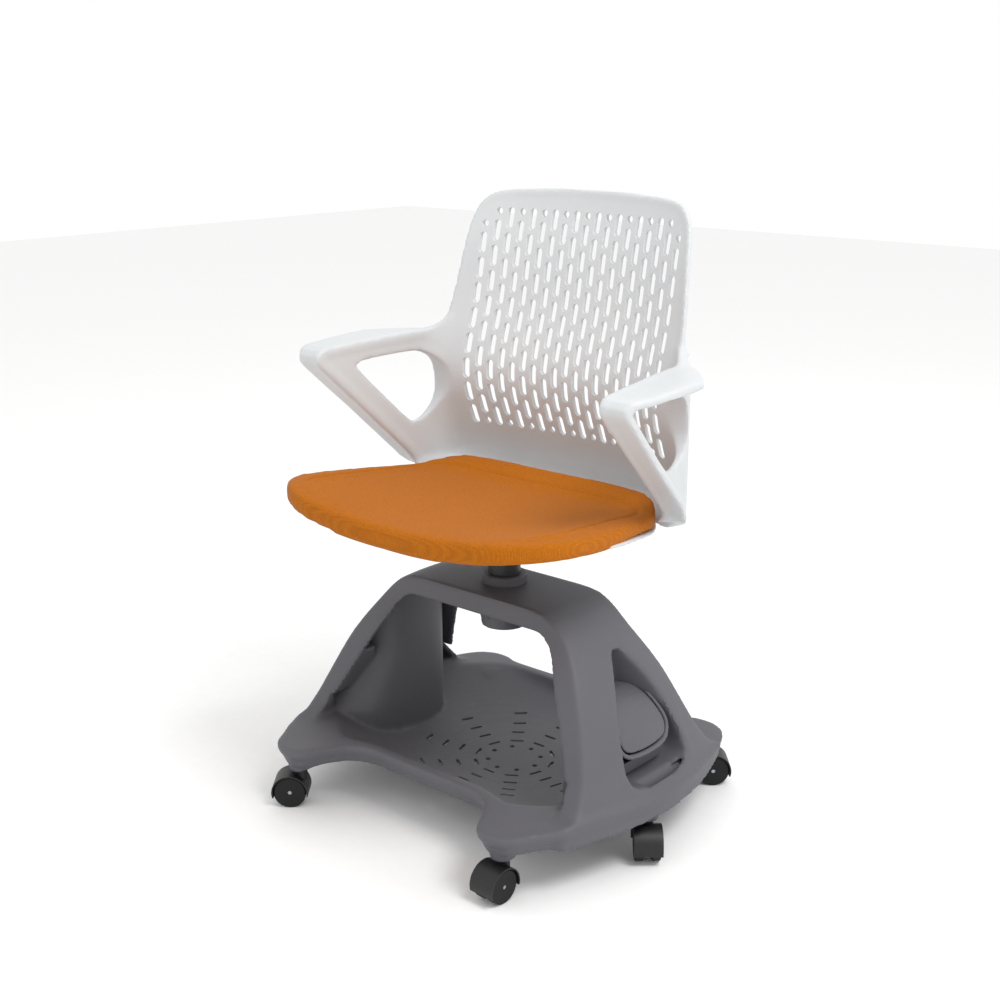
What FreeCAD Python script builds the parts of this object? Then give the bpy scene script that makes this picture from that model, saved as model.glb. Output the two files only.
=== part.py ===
"""Student desk chair on a wheeled storage base, as separate moulded, turned and pressed pieces.

Frame: millimetres, +Z up, floor at Z = 0, column axis on the Z axis, the sitter faces -Y, sitter's left is +X.
"""
import FreeCAD, Part
import math
import os
import re
from FreeCAD import Placement, Rotation, Vector

doc = FreeCAD.newDocument("student_desk_chair")

# ---------------------------------------------------------------- driving dimensions (one sheet)
SIZES = {
    # base moulding
    "rim_top": 100, "rim_bottom": 70, "boss_bottom": 58, "boss_radius": 18.5,
    "floor_low": 42, "floor_edge": 66, "floor_wall": 3.5, "skin": 4.5,
    "bridge_top": 346, "bridge_under": 315,
    # perforated storage floor
    "drain_ring": 42, "drain_radius": 4.2, "slot_start": 62, "slot_step": 29, "slot_length": 22,
    "slot_width": 3.4, "pattern_back": 25,
    # column and gas spring
    "tube_radius": 25, "tube_low": 279, "tube_high": 392, "socket_radius": 35.5, "socket_low": 276.7,
    "collar_radius": 34.8, "collar_high": 360.4, "gas_radius": 14, "gas_low": 296, "gas_high": 400,
    "taper_radius": 13, "taper_high": 428, "rod_radius": 5, "running_gap": 0.05,
    "head_low": 368, "head_high": 378,
    # seat mechanism
    "plate_low": 437, "plate_thick": 3, "plate_width": 180, "plate_depth": 160, "plate_hole": 3.3,
    "plate_pitch_wide": 152, "plate_pitch_deep": 132,
    "housing_low": 402, "housing_width": 110, "housing_depth": 90, "housing_wall": 3,
    # castors
    "wheel_radius": 25, "wheel_wide": 15, "wheel_inset": 4.5, "castor_trail": 16, "hood_radius": 28.2,
    "hood_wall": 2, "hood_wide": 42, "web_wide": 6, "axle_radius": 3, "hub_radius": 6.5,
    "stem_radius": 5.5, "stem_high": 82, "sleeve_radius": 7.5, "sleeve_high": 84, "neck_radius": 10,
    "neck_high": 57.4,
    # back shell perforation
    "slot_pitch": 40.2, "slot_tall": 31, "slot_across": 9.5, "pin_hole": 5, "column_pitch": 40.6,
    # storage bins in the legs
    "niche_back": 180, "niche_floor": 114, "lid_wall": 2.4, "hinge_x": 193, "hinge_z": 218,
    "hinge_pin": 2,
}
sheet = doc.addObject("Spreadsheet::Sheet", "Sheet")
for row, (alias, number) in enumerate(SIZES.items(), start=1):
    sheet.set(f"A{row}", alias.replace("_", " "))
    sheet.set(f"B{row}", str(number))
    sheet.setAlias(f"B{row}", alias)
doc.recompute()

pieces = []  # every finished sub-part, in the order it is put together


def size(alias):
    """Number held in a cell of the sheet."""
    return float(getattr(sheet, alias))


def rule(text):
    """A size rule in cell aliases, written so that another object can be bound to it."""
    return re.sub(r"[a-z_]{3,}", lambda word: "Sheet." + word.group(0), str(text))


def number(text):
    """Present value of a size rule."""
    return float(sheet.evalExpression(str(text)))


# ---------------------------------------------------------------- sketch helpers
def new_body(label):
    body = doc.addObject("PartDesign::Body", label)
    body.Label = label
    pieces.append(body)
    return body


def new_sketch(body, role, name):
    sketch = body.newObject("Sketcher::SketchObject", name)
    plane = next(item for item in body.Origin.OriginFeatures if item.Role == role)
    sketch.AttachmentSupport = [(plane, "")]
    sketch.MapMode = "FlatFace"
    return sketch


def bind_place(sketch, geometry, point, across, up):
    """Bind one point of a sketch to two size rules, measured from the sketch's origin."""
    import Sketcher
    for kind, axis, text in (("DistanceX", -2, across), ("DistanceY", -1, up)):
        present = number(text)
        if abs(present) < 1e-9:
            sketch.addConstraint(Sketcher.Constraint("PointOnObject", geometry, point, axis))
            continue
        if present > 0:
            ends = (-1, 1, geometry, point)
            text_bound = rule(text)
        else:
            ends = (geometry, point, -1, 1)
            text_bound = rule(f"-({text})")
        index = sketch.addConstraint(Sketcher.Constraint(kind, *ends, abs(present)))
        sketch.setExpression(f"Constraints[{index}]", text_bound)


def outline(sketch, corners):
    """Closed straight-sided outline; each corner is a pair of size rules."""
    import Sketcher
    spots = [Vector(number(across), number(up), 0) for across, up in corners]
    count = len(spots)
    first = len(sketch.Geometry)
    for index in range(count):
        sketch.addGeometry(Part.LineSegment(spots[index], spots[(index + 1) % count]), False)
    for index in range(count):
        ahead = first + (index + 1) % count
        sketch.addConstraint(Sketcher.Constraint("Coincident", first + index, 2, ahead, 1))
    for index, (across, up) in enumerate(corners):
        bind_place(sketch, first + index, 1, across, up)


def ring(sketch, across, up, radius):
    """Circle with its centre and radius bound to size rules."""
    import Sketcher
    centre = Vector(number(across), number(up), 0)
    index = sketch.addGeometry(Part.Circle(centre, Vector(0, 0, 1), number(radius)), False)
    bind_place(sketch, index, 3, across, up)
    spot = sketch.addConstraint(Sketcher.Constraint("Radius", index, number(radius)))
    sketch.setExpression(f"Constraints[{spot}]", rule(radius))


def turned(label, corners):
    """Turned or moulded round piece: a half section (radius, height) revolved about Z."""
    body = new_body(label)
    sketch = new_sketch(body, "XZ_Plane", label + "_section")
    outline(sketch, corners)
    spin = body.newObject("PartDesign::Revolution", label + "_turn")
    spin.Profile = sketch
    spin.ReferenceAxis = (sketch, ["V_Axis"])
    spin.Angle = 360
    doc.recompute()
    return body


def padded(body, sketch, name, length, both_ways=False):
    pad = body.newObject("PartDesign::Pad", name)
    pad.Profile = sketch
    pad.setExpression("Length", rule(length))
    pad.Midplane = both_ways
    doc.recompute()
    return pad


def pocketed(body, sketch, name, length, both_ways=False, reverse=False):
    before = body.Shape.Volume
    pocket = body.newObject("PartDesign::Pocket", name)
    pocket.Profile = sketch
    pocket.setExpression("Length", rule(length))
    pocket.Midplane = both_ways
    pocket.Reversed = reverse
    doc.recompute()
    if body.Shape.Volume >= before - 1e-6:
        raise RuntimeError(name + " removes nothing")
    return pocket


def solid_piece(label, shape):
    """A piece whose form is a free surface, made with Part's own functions."""
    feature = doc.addObject("Part::Feature", label)
    feature.Label = label
    feature.Shape = shape
    pieces.append(feature)
    return feature


# ---------------------------------------------------------------- shape helpers
def wire_through(points, closed=True):
    """Straight-sided wire through points."""
    spots = [Vector(*point) for point in points]
    if closed:
        spots.append(spots[0])
    return Part.makePolygon(spots)


def smooth(points):
    """One smooth edge through points."""
    curve = Part.BSplineCurve()
    curve.interpolate([Vector(*point) for point in points])
    return curve.toShape()


def prism(points, direction):
    """Straight-sided outline pushed along a direction."""
    return Part.Face(wire_through(points)).extrude(Vector(*direction))


def both_sides(shape):
    """A shape and its mirror image across the chair's middle plane."""
    return [shape, shape.mirror(Vector(0, 0, 0), Vector(1, 0, 0))]


def rounded(points, radius):
    """Closed outline in the XY plane with every corner rounded by an arc."""
    edges = []
    count = len(points)
    tangents = []
    for index in range(count):
        corner = Vector(*points[index])
        back = Vector(*points[index - 1]) - corner
        ahead = Vector(*points[(index + 1) % count]) - corner
        reach = radius[index] if isinstance(radius, (list, tuple)) else radius
        reach = min(reach, back.Length * 0.48, ahead.Length * 0.48)
        start = corner + back.normalize() * reach
        end = corner + ahead.normalize() * reach
        middle = (start + end) * 0.25 + corner * 0.5
        tangents.append((start, middle, end))
    for index in range(count):
        start, middle, end = tangents[index]
        edges.append(Part.BezierCurve())
        edges[-1].setPoles([start, Vector(*points[index]), end])
        edges[-1] = edges[-1].toShape()
        following = tangents[(index + 1) % count][0]
        if (following - end).Length > 1e-6:
            edges.append(Part.makeLine(end, following))
    return Part.Wire(edges)


def slab(wire, low, high):
    """Flat plate of a plan outline between two heights."""
    placed = wire.copy()
    placed.translate(Vector(0, 0, low))
    return Part.Face(placed).extrude(Vector(0, 0, high - low))


# ---------------------------------------------------------------- castor places
# name: (x, y, heading of the trailing wheels in degrees)
FRONT_Y, SIDE_Y, REAR_Y = -243, -24, 221
FRONT_X, SIDE_X, REAR_X = 205, 290, 226
CASTORS = {
    "castor_front_left": (FRONT_X, FRONT_Y, -92),
    "castor_front_right": (-FRONT_X, FRONT_Y, -140),
    "castor_side_left": (SIDE_X, SIDE_Y, -49),
    "castor_side_right": (-SIDE_X, SIDE_Y, 128),
    "castor_rear_left": (REAR_X, REAR_Y, 41),
    "castor_rear_right": (-REAR_X, REAR_Y, 105),
}

# ---------------------------------------------------------------- base: lower tray moulding
# Half outlines, +X side, from the front middle to the rear middle; the other half is the mirror image.
RIM_HALF = [(0, -191), (96, -190), (136, -203), (160, -236), (172, -270), (200, -281), (226, -266),
            (268, -204), (296, -120), (316, -50), (319, 0), (312, 60), (296, 120), (284, 170), (270, 206),
            (253, 234), (228, 251), (200, 252), (160, 243), (110, 243), (0, 244)]
WELL_HALF = [(0, -171), (104, -168), (150, -182), (176, -206), (206, -214), (234, -198), (240, -164),
             (236, -110), (236, 110), (232, 146), (214, 178), (190, 202), (150, 206), (0, 206)]
DISH_HALF = [(0, -128), (96, -126), (128, -132), (150, -140), (170, -138), (186, -126), (190, -108),
             (188, -80), (188, 90), (186, 114), (172, 138), (150, 152), (120, 156), (0, 156)]


def full_outline(half):
    """Closed plan outline from its +X half; the two middle points are used once."""
    points = [(x, y, 0) for x, y in half]
    points += [(-x, y, 0) for x, y in reversed(half[1:-1])]
    return points


rim_wire = rounded(full_outline(RIM_HALF), 26)
rim = slab(rim_wire, size("rim_bottom"), size("rim_top"))
rim = rim.cut(slab(rounded(full_outline(WELL_HALF), 24), size("floor_edge") - 1, size("rim_top") + 1))
well_top = rounded(full_outline(WELL_HALF), 24)
well_low = rounded(full_outline(DISH_HALF), 24)


def dish(low, high, spread):
    """Sloping-sided bowl between the floor outline and the rim's inner outline."""
    bottom = well_low.copy()
    bottom.translate(Vector(0, 0, low))
    top = well_top.copy()
    if spread:
        matrix = FreeCAD.Matrix()
        matrix.scale(Vector(1 + spread / 240, 1 + spread / 190, 1))
        top = top.transformGeometry(matrix)
        bottom = bottom.transformGeometry(matrix)
    top.translate(Vector(0, 0, high))
    return Part.makeLoft([bottom, top], True, True)


floor_low, floor_wall = size("floor_low"), size("floor_wall")
bowl = dish(floor_low, size("rim_bottom") + 6, floor_wall)
bowl = bowl.cut(dish(floor_low + floor_wall, size("rim_bottom") + 6.2, 0))
tray = rim.fuse(bowl)
for x, y, heading in CASTORS.values():
    boss = Part.makeCylinder(size("boss_radius"), size("rim_bottom") + 16 - size("boss_bottom"),
                             Vector(x, y, size("boss_bottom")))
    tray = tray.fuse(boss)
    tray = tray.cut(Part.makeCylinder(size("sleeve_radius"), size("sleeve_high") - size("boss_bottom"),
                                      Vector(x, y, size("boss_bottom"))))


def tangent_slot(radius, degrees):
    """Short drain slot across a spoke of the floor pattern."""
    half = size("slot_length") / 2
    wide = size("slot_width") / 2
    corners = [(radius - wide, -half, 0), (radius + wide, -half, 0), (radius + wide, half, 0),
               (radius - wide, half, 0)]
    tool = prism(corners, (0, 0, 26))
    tool.rotate(Vector(0, 0, 0), Vector(0, 0, 1), degrees)
    tool.translate(Vector(0, size("pattern_back"), floor_low - 5))
    return tool


drains = []
for index in range(8):
    turn = math.radians(45 * index)
    spot = Vector(size("drain_ring") * math.sin(turn),
                  size("pattern_back") + size("drain_ring") * math.cos(turn), floor_low - 5)
    drains.append(Part.makeCylinder(size("drain_radius"), 20, spot))
for spoke in range(10):
    for step in range(4):
        radius = size("slot_start") + step * size("slot_step")
        drains.append(tangent_slot(radius, 90 + 36 * spoke))
tray = tray.cut(Part.makeCompound(drains))

# ---------------------------------------------------------------- base: arch moulding (two legs and bridge)
# Leg stations: height, inner edge x, outer edge x, bulge x, front y, rear y
LEG = [(100, 240, 276, 308, -178, 168), (140, 232, 266, 291, -148, 138), (180, 213, 252, 273, -129, 119),
       (240, 183, 225, 242, -106, 96), (300, 148, 187, 199, -80, 72), (332, 128, 150, 158, -74, 66)]


def leg_loft(inset, open_in):
    """One leg as a stack of plan sections; inset makes the hollow, open on the inner side."""
    wires = []
    for high, inner, outer, bulge, front, rear in LEG:
        near = inner - open_in
        lines = [Part.makeLine(Vector(near, front + inset, high), Vector(outer - inset, front + inset, high)),
                 Part.Arc(Vector(outer - inset, front + inset, high),
                          Vector(bulge - inset, (front + rear) / 2, high),
                          Vector(outer - inset, rear - inset, high)).toShape(),
                 Part.makeLine(Vector(outer - inset, rear - inset, high), Vector(near, rear - inset, high)),
                 Part.makeLine(Vector(near, rear - inset, high), Vector(near, front + inset, high))]
        wires.append(Part.Wire(lines))
    return Part.makeLoft(wires, True, True)


skin = size("skin")
leg_hollow = leg_loft(skin, 30)
leg = leg_loft(0, 0)

under, top = size("bridge_under"), size("bridge_top")
bridge_side = [(0, -74, top), (112, -74, top), (140, -74, top - 5), (158, -74, top - 20), (166, -74, 314),
               (150, -74, 296), (140, -74, 309), (122, -74, under), (0, -74, under)]
bridge_half = prism(bridge_side, (0, 140, 0))
bridge = bridge_half.fuse(bridge_half.mirror(Vector(0, 0, 0), Vector(1, 0, 0)))
arch = bridge
for part in both_sides(leg):
    arch = arch.fuse(part)
for part in both_sides(leg_hollow.common(Part.makeBox(400, 400, 296 - 100, Vector(0, -200, 100)))):
    arch = arch.cut(part)
relief = Part.makeBox(62, 140 - 2 * skin, 26, Vector(44, -74 + skin, under - 1))
for part in both_sides(relief):
    arch = arch.cut(part)
arch = arch.cut(Part.makeCylinder(size("tube_radius"), 60, Vector(0, 0, under - 10)))

# Niche: the opening in each leg's outer skin, a rounded trapezium that narrows upwards
NICHE = [(0, 302), (24, 300), (50, 233), (66, 180), (76, 128), (64, 116), (0, 116)]


def niche_prism(grow, near, far):
    """Niche outline pushed along X, on the +X side; grow is an outward margin."""
    half = [(near, y + grow if y else 0, z + (grow if z > 200 else -grow if z < 120 else 0))
            for y, z in NICHE]
    loop = half + [(x, -y, z) for x, y, z in reversed(half[1:-1])]
    return prism(loop, (far - near, 0, 0))


for part in both_sides(niche_prism(0, 120, 420)):
    arch = arch.cut(part)

solid_piece("base_tray", tray.removeSplitter())
solid_piece("base_arch", arch.removeSplitter())

# ---------------------------------------------------------------- bin pockets behind the niches
POCKET = [(330, -80, 0), (240, -80, 0), (176, -52, 0), (176, 62, 0), (240, 90, 0), (330, 90, 0)]
pocket_plan = rounded(POCKET, [2, 30, 30, 30, 30, 2])
leg_room = leg_loft(skin, 80).fuse(Part.makeBox(64, 170, 40, Vector(172, -80, 64)))
pocket = slab(pocket_plan, 64, 292).common(leg_room)
inset_plan = rounded([(330, -75, 0), (243, -75, 0), (180, -49, 0), (180, 59, 0), (243, 85, 0), (330, 85, 0)],
                     [2, 30, 30, 30, 30, 2])
pocket = pocket.cut(slab(inset_plan, 60, size("niche_floor") - 2).common(leg_loft(skin + 3, 90).fuse(
    Part.makeBox(60, 170, 40, Vector(172, -80, 60)))))
pocket = pocket.cut(niche_prism(0, size("niche_back"), 430))
pocket = pocket.cut(tray).cut(arch)
solid_piece("bin_pocket_left", pocket)
solid_piece("bin_pocket_right", pocket.mirror(Vector(0, 0, 0), Vector(1, 0, 0)))

# ---------------------------------------------------------------- lidded bins
# Side curve of the lid's outer face, from the hinge to the lip, as (x, z)
LID_CURVE = [(188, 223), (207, 222), (234, 208), (256, 182), (270, 154)]


def side_band(first, last, depth):
    """Solid band under the lid's side curve, wide in Y, between two fractions of the curve."""
    curve = Part.BSplineCurve()
    curve.interpolate([Vector(x, -100, z) for x, z in LID_CURVE])
    low, high = curve.FirstParameter, curve.LastParameter
    steps = 12
    outer, inner = [], []
    for step in range(steps + 1):
        at = low + (high - low) * (first + (last - first) * step / steps)
        spot = curve.value(at)
        along = curve.tangent(at)[0]
        normal = Vector(-along.z, 0, along.x).normalize()
        outer.append(spot)
        inner.append(spot - normal * depth)
    edges = [smooth(outer), Part.makeLine(outer[-1], inner[-1]), smooth(list(reversed(inner))),
             Part.makeLine(inner[0], outer[0])]
    return Part.Face(Part.Wire(edges)).extrude(Vector(0, 200, 0))


def front_prism(half_top, half_low, z_top, z_low, corner):
    """Rounded trapezium seen from the side of the chair, pushed along X."""
    points = [(-half_top, z_top, 0), (half_top, z_top, 0), (half_low, z_low, 0), (-half_low, z_low, 0)]
    face = Part.Face(rounded(points, corner))
    face.rotate(Vector(0, 0, 0), Vector(1, 0, 0), 90)
    face.rotate(Vector(0, 0, 0), Vector(0, 0, 1), 90)
    face.translate(Vector(150, 0, 0))
    return face.extrude(Vector(200, 0, 0))


hinge_x, hinge_z, pin = size("hinge_x"), size("hinge_z"), size("hinge_pin")
lid_front = front_prism(38.5, 49, 240, 155.5, 14)
lid = side_band(0.1, 1, size("lid_wall")).common(lid_front)
barrel = Part.makeCylinder(pin + 2.3, 60, Vector(hinge_x, -30, hinge_z), Vector(0, 1, 0))
lid = lid.fuse(barrel)
lid = lid.cut(Part.makeCylinder(pin + size("running_gap"), 70, Vector(hinge_x, -35, hinge_z),
                                Vector(0, 1, 0)))

collar = side_band(0, 1, 9).common(front_prism(44, 57, 240, 144, 18))
lip = Part.makeBox(14, 200, 16, Vector(259, -100, 143)).common(front_prism(44, 57, 240, 143, 18))
collar = collar.fuse(lip)
collar = collar.cut(front_prism(39.3, 49.8, 250, 154.6, 14.6))
for shift in (-1, 1):
    ear = Part.makeBox(9, 9, 12, Vector(hinge_x - 4.5, 31 if shift > 0 else -40, hinge_z - 7.5))
    collar = collar.fuse(ear)
back_rail = Part.makeBox(5, 84, 7, Vector(hinge_x - 10, -42, hinge_z - 13))
collar = collar.fuse(back_rail)
for shift in (-1, 1):
    tie = Part.makeBox(9, 5, 8, Vector(hinge_x - 10, 38 if shift > 0 else -43, hinge_z - 13))
    collar = collar.fuse(tie)
collar = collar.cut(Part.makeCylinder(pin, 100, Vector(hinge_x, -50, hinge_z), Vector(0, 1, 0)))

CUP = [(186, 119), (258, 119), (266, 142.6), (262, 142.6), (248, 172), (228, 194), (208, 204), (186, 204)]
cup_side = prism([(x, -100, z) for x, z in CUP], (0, 200, 0))
cup_front = front_prism(40, 54, 240, 119, 10)
cup = cup_side.common(cup_front)
hollow_side = prism([(188.5, -100, 121.5), (255.5, -100, 121.5), (262, -100, 142.6), (262, -100, 260),
                     (188.5, -100, 260)], (0, 200, 0))
cup = cup.cut(hollow_side.common(front_prism(37.5, 51.5, 262, 121.5, 8)))
collar = collar.cut(cup)
pin_shape = Part.makeCylinder(pin, 78, Vector(hinge_x, -39, hinge_z), Vector(0, 1, 0))
for side in ("left", "right"):
    for name, shape in (("bin_cup", cup), ("bin_collar", collar), ("bin_lid", lid),
                        ("bin_hinge_pin", pin_shape)):
        if side == "right":
            shape = shape.mirror(Vector(0, 0, 0), Vector(1, 0, 0))
        solid_piece(f"{name}_{side}", shape)

# ---------------------------------------------------------------- column: socket, collar, outer tube
socket = turned("column_socket", [("tube_radius", "socket_low"), ("socket_radius", "socket_low"),
                                  ("socket_radius", "bridge_under"), ("tube_radius", "bridge_under")])
web_sketch = new_sketch(socket, "XZ_Plane", "gusset_outline")
outline(web_sketch, [("socket_radius - 2", "bridge_under - 26"), ("socket_radius + 18", "bridge_under - 1.5"),
                     ("socket_radius + 18", "bridge_under"), ("socket_radius - 2", "bridge_under")])
gusset = padded(socket, web_sketch, "gusset", "4", both_ways=True)
gussets = socket.newObject("PartDesign::PolarPattern", "gussets")
gussets.Originals = [gusset]
gussets.Axis = (web_sketch, ["V_Axis"])
gussets.Angle = 360
gussets.Occurrences = 8
socket.Tip = gussets
doc.recompute()

turned("column_collar", [("tube_radius", "bridge_top"), ("collar_radius", "bridge_top"),
                         ("collar_radius", "collar_high - 2"), ("collar_radius - 2", "collar_high"),
                         ("tube_radius", "collar_high")])
turned("column_tube", [("0", "tube_low"), ("tube_radius", "tube_low"), ("tube_radius", "tube_high"),
                       ("gas_radius + running_gap", "tube_high"),
                       ("gas_radius + running_gap", "tube_high - 32"), ("tube_radius - 2", "tube_high - 34"),
                       ("tube_radius - 2", "tube_low + 2.5"), ("0", "tube_low + 2.5")])

# ---------------------------------------------------------------- gas spring and its lower bearing
turned("thrust_bearing", [("rod_radius + 0.3", "tube_low + 2.5"), ("rod_radius + 8", "tube_low + 2.5"),
                          ("rod_radius + 8", "tube_low + 6.5"), ("rod_radius + 0.3", "tube_low + 6.5")])
turned("piston_rod", [("0", "tube_low + 3"), ("rod_radius", "tube_low + 3"), ("rod_radius", "tube_low + 7"),
                      ("rod_radius + 5", "tube_low + 7"), ("rod_radius + 5", "tube_low + 9"),
                      ("rod_radius", "tube_low + 9"), ("rod_radius", "head_low"),
                      ("gas_radius - 2.1", "head_low"), ("gas_radius - 2.1", "head_high"), ("0", "head_high")])
turned("gas_cylinder", [("rod_radius + running_gap", "gas_low"), ("gas_radius", "gas_low"),
                        ("gas_radius", "gas_high"), ("taper_radius", "gas_high + 2"),
                        ("taper_radius", "taper_high"), ("0", "taper_high"), ("0", "gas_high - 2"),
                        ("gas_radius - 2", "gas_high - 2"), ("gas_radius - 2", "gas_low + 10"),
                        ("rod_radius + running_gap", "gas_low + 10")])

# ---------------------------------------------------------------- seat mechanism
plate = new_body("mechanism_plate")
plate_sketch = new_sketch(plate, "XY_Plane", "plate_outline")
outline(plate_sketch, [("-plate_width / 2", "-plate_depth / 2"), ("plate_width / 2", "-plate_depth / 2"),
                       ("plate_width / 2", "plate_depth / 2"), ("-plate_width / 2", "plate_depth / 2")])
padded(plate, plate_sketch, "plate_blank", "plate_thick")
hole_sketch = new_sketch(plate, "XY_Plane", "plate_holes")
for side_x in ("-", ""):
    for side_y in ("-", ""):
        ring(hole_sketch, f"{side_x}plate_pitch_wide / 2", f"{side_y}plate_pitch_deep / 2", "plate_hole")
pocketed(plate, hole_sketch, "plate_bolt_holes", "2 * plate_thick", both_ways=True)
plate.setExpression("Placement.Base.z", rule("plate_low"))

housing = new_body("mechanism_housing")
housing_sketch = new_sketch(housing, "XY_Plane", "housing_outline")
outline(housing_sketch, [("-housing_width / 2", "-housing_depth / 2"), ("housing_width / 2", "-housing_depth / 2"),
                         ("housing_width / 2", "housing_depth / 2"), ("-housing_width / 2", "housing_depth / 2")])
padded(housing, housing_sketch, "housing_blank", "plate_low - housing_low")
inside_sketch = new_sketch(housing, "XY_Plane", "housing_inside")
outline(inside_sketch, [("-housing_width / 2 + housing_wall", "-housing_depth / 2 + housing_wall"),
                        ("housing_width / 2 - housing_wall", "-housing_depth / 2 + housing_wall"),
                        ("housing_width / 2 - housing_wall", "housing_depth / 2 - housing_wall"),
                        ("-housing_width / 2 + housing_wall", "housing_depth / 2 - housing_wall")])
inside_sketch.AttachmentOffset = Placement(Vector(0, 0, size("housing_wall")), Rotation())
pocketed(housing, inside_sketch, "housing_hollow", "plate_low - housing_low", reverse=True)
boss_sketch = new_sketch(housing, "XY_Plane", "taper_boss")
ring(boss_sketch, "0", "0", "taper_radius + 5")
padded(housing, boss_sketch, "taper_boss_pad", "plate_low - housing_low - 6")
bore_sketch = new_sketch(housing, "XY_Plane", "taper_bore")
ring(bore_sketch, "0", "0", "taper_radius")
pocketed(housing, bore_sketch, "taper_bore_cut", "4 * housing_depth", both_ways=True)
slit_sketch = new_sketch(housing, "YZ_Plane", "lever_window")
outline(slit_sketch, [("-26", "6"), ("-14", "6"), ("-14", "28"), ("-26", "28")])
slit = pocketed(housing, slit_sketch, "lever_window_cut", "housing_width", reverse=False)
housing.setExpression("Placement.Base.z", rule("housing_low"))
doc.recompute()

# release lever: round bar with a flat paddle, pivoting in the side of the housing, on the sitter's right
LEVER_Y, LEVER_Z = -20, 418
bar = Part.makeCylinder(4, 128, Vector(-62, LEVER_Y, LEVER_Z), Vector(-1, 0, 0))
paddle = Part.makeBox(46, 26, 5, Vector(-226, LEVER_Y - 13, LEVER_Z - 2.5))
finger = Part.makeCylinder(4, 40, Vector(-22, LEVER_Y, LEVER_Z), Vector(-1, 0, 0))
lever = bar.fuse([paddle, finger])
lever = lever.cut(Part.makeCylinder(2.05, 30, Vector(-62, LEVER_Y - 15, LEVER_Z), Vector(0, 1, 0)))
solid_piece("height_lever", lever.removeSplitter())
ears = [Part.makeBox(14, 3, 16, Vector(-69, LEVER_Y + shift, LEVER_Z - 8)) for shift in (-8, 5)]
bracket = ears[0].fuse([ears[1], Part.makeBox(14, 16, 3, Vector(-69, LEVER_Y - 8, LEVER_Z - 11))])
bracket = bracket.cut(Part.makeCylinder(2, 30, Vector(-62, LEVER_Y - 15, LEVER_Z), Vector(0, 1, 0)))
solid_piece("lever_bracket", bracket)
solid_piece("lever_pin", Part.makeCylinder(2, 18, Vector(-62, LEVER_Y - 9, LEVER_Z), Vector(0, 1, 0)))

# ---------------------------------------------------------------- seat pan and cushion
# Stations from front to rear: y, half width, top of the pan at the middle, rise of the pan towards its edges
SEAT = [(-259, 120, 463, 4), (-249, 176, 462, 15), (-234, 213, 461, 22), (-212, 240, 460, 26),
        (-175, 259, 458, 28), (-126, 262, 456, 25), (-51, 255, 452, 20), (20, 243, 448, 15),
        (60, 232, 447, 12), (90, 212, 450, 10), (112, 175, 456, 8), (126, 130, 462, 5)]


def seat_section(y, half, mid_low, edge_low, mid_high, edge_high):
    """Closed cross-section at one station: a dished strip with rounded ends."""
    spans = (-1, -0.66, -0.33, 0, 0.33, 0.66, 1)
    lower = [(half * t, y, mid_low + (edge_low - mid_low) * t * t) for t in spans]
    upper = [(half * t, y, mid_high + (edge_high - mid_high) * t * t) for t in reversed(spans)]
    edges = [smooth(lower), Part.makeLine(Vector(*lower[-1]), Vector(*upper[0])), smooth(upper),
             Part.makeLine(Vector(*upper[-1]), Vector(*lower[0]))]
    return Part.Wire(edges)


def seat_loft(stations, low, high, inset):
    """Solid between two heights above the pan's top face, pulled in all round by the inset."""
    wires = []
    for y, half, mid, rise in stations:
        wires.append(seat_section(y * (1 - inset / 200), half - inset, mid + low, mid + rise + low,
                                  mid + high, mid + rise + high * 0.8))
    return Part.makeLoft(wires, True, False)


pan = seat_loft(SEAT, -5, -0.3, 2)
boss_spots = [(x, y) for x in (-76, 76) for y in (-66, 66)]
for x, y in boss_spots:
    pan = pan.fuse(Part.makeCylinder(9, 14, Vector(x, y, size("plate_low") + size("plate_thick"))))
    pan = pan.cut(Part.makeCylinder(3, 16, Vector(x, y, size("plate_low"))))
cushion = seat_loft(SEAT, 0, 30, 0)
pan = pan.cut(cushion)

# ---------------------------------------------------------------- back and arm shell
# Middle line of the back's front face: height, y
SPINE = [(452, 178), (470, 183), (490, 186), (520, 180), (548, 168), (575, 159), (605, 149), (640, 146),
         (680, 154), (740, 169), (800, 182), (860, 194), (924, 207)]


def back_front(x, spine_y):
    """Front face of the back in plan: gently hollow, turning in more towards its edges."""
    return spine_y - x * x / 1800 - 0.00077 * max(0, abs(x) - 120) ** 2


def back_section(high, spine_y, thick):
    across = [-244, -200, -160, -120, -60, 0, 60, 120, 160, 200, 244]
    front = [(x, back_front(x, spine_y), high) for x in across]
    rear = [(x, back_front(x, spine_y) + thick, high) for x in reversed(across)]
    return Part.Wire([smooth(front), Part.makeLine(Vector(*front[-1]), Vector(*rear[0])), smooth(rear),
                      Part.makeLine(Vector(*rear[-1]), Vector(*front[0]))])


BACK_THICK = 7
panel = Part.makeLoft([back_section(high, y, BACK_THICK) for high, y in SPINE], True, True)
PANEL_HALF = [(0, 918), (120, 915), (173, 909), (194, 897), (204, 878), (208, 859), (215, 809), (220, 765),
              (226, 728), (232, 690), (232, 640), (234, 520), (234, 470), (222, 454), (0, 453)]
panel_loop = PANEL_HALF + [(-x, z) for x, z in reversed(PANEL_HALF[1:-1])]
panel = panel.common(prism([(x, 0, z) for x, z in panel_loop], (0, 300, 0)))

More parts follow.
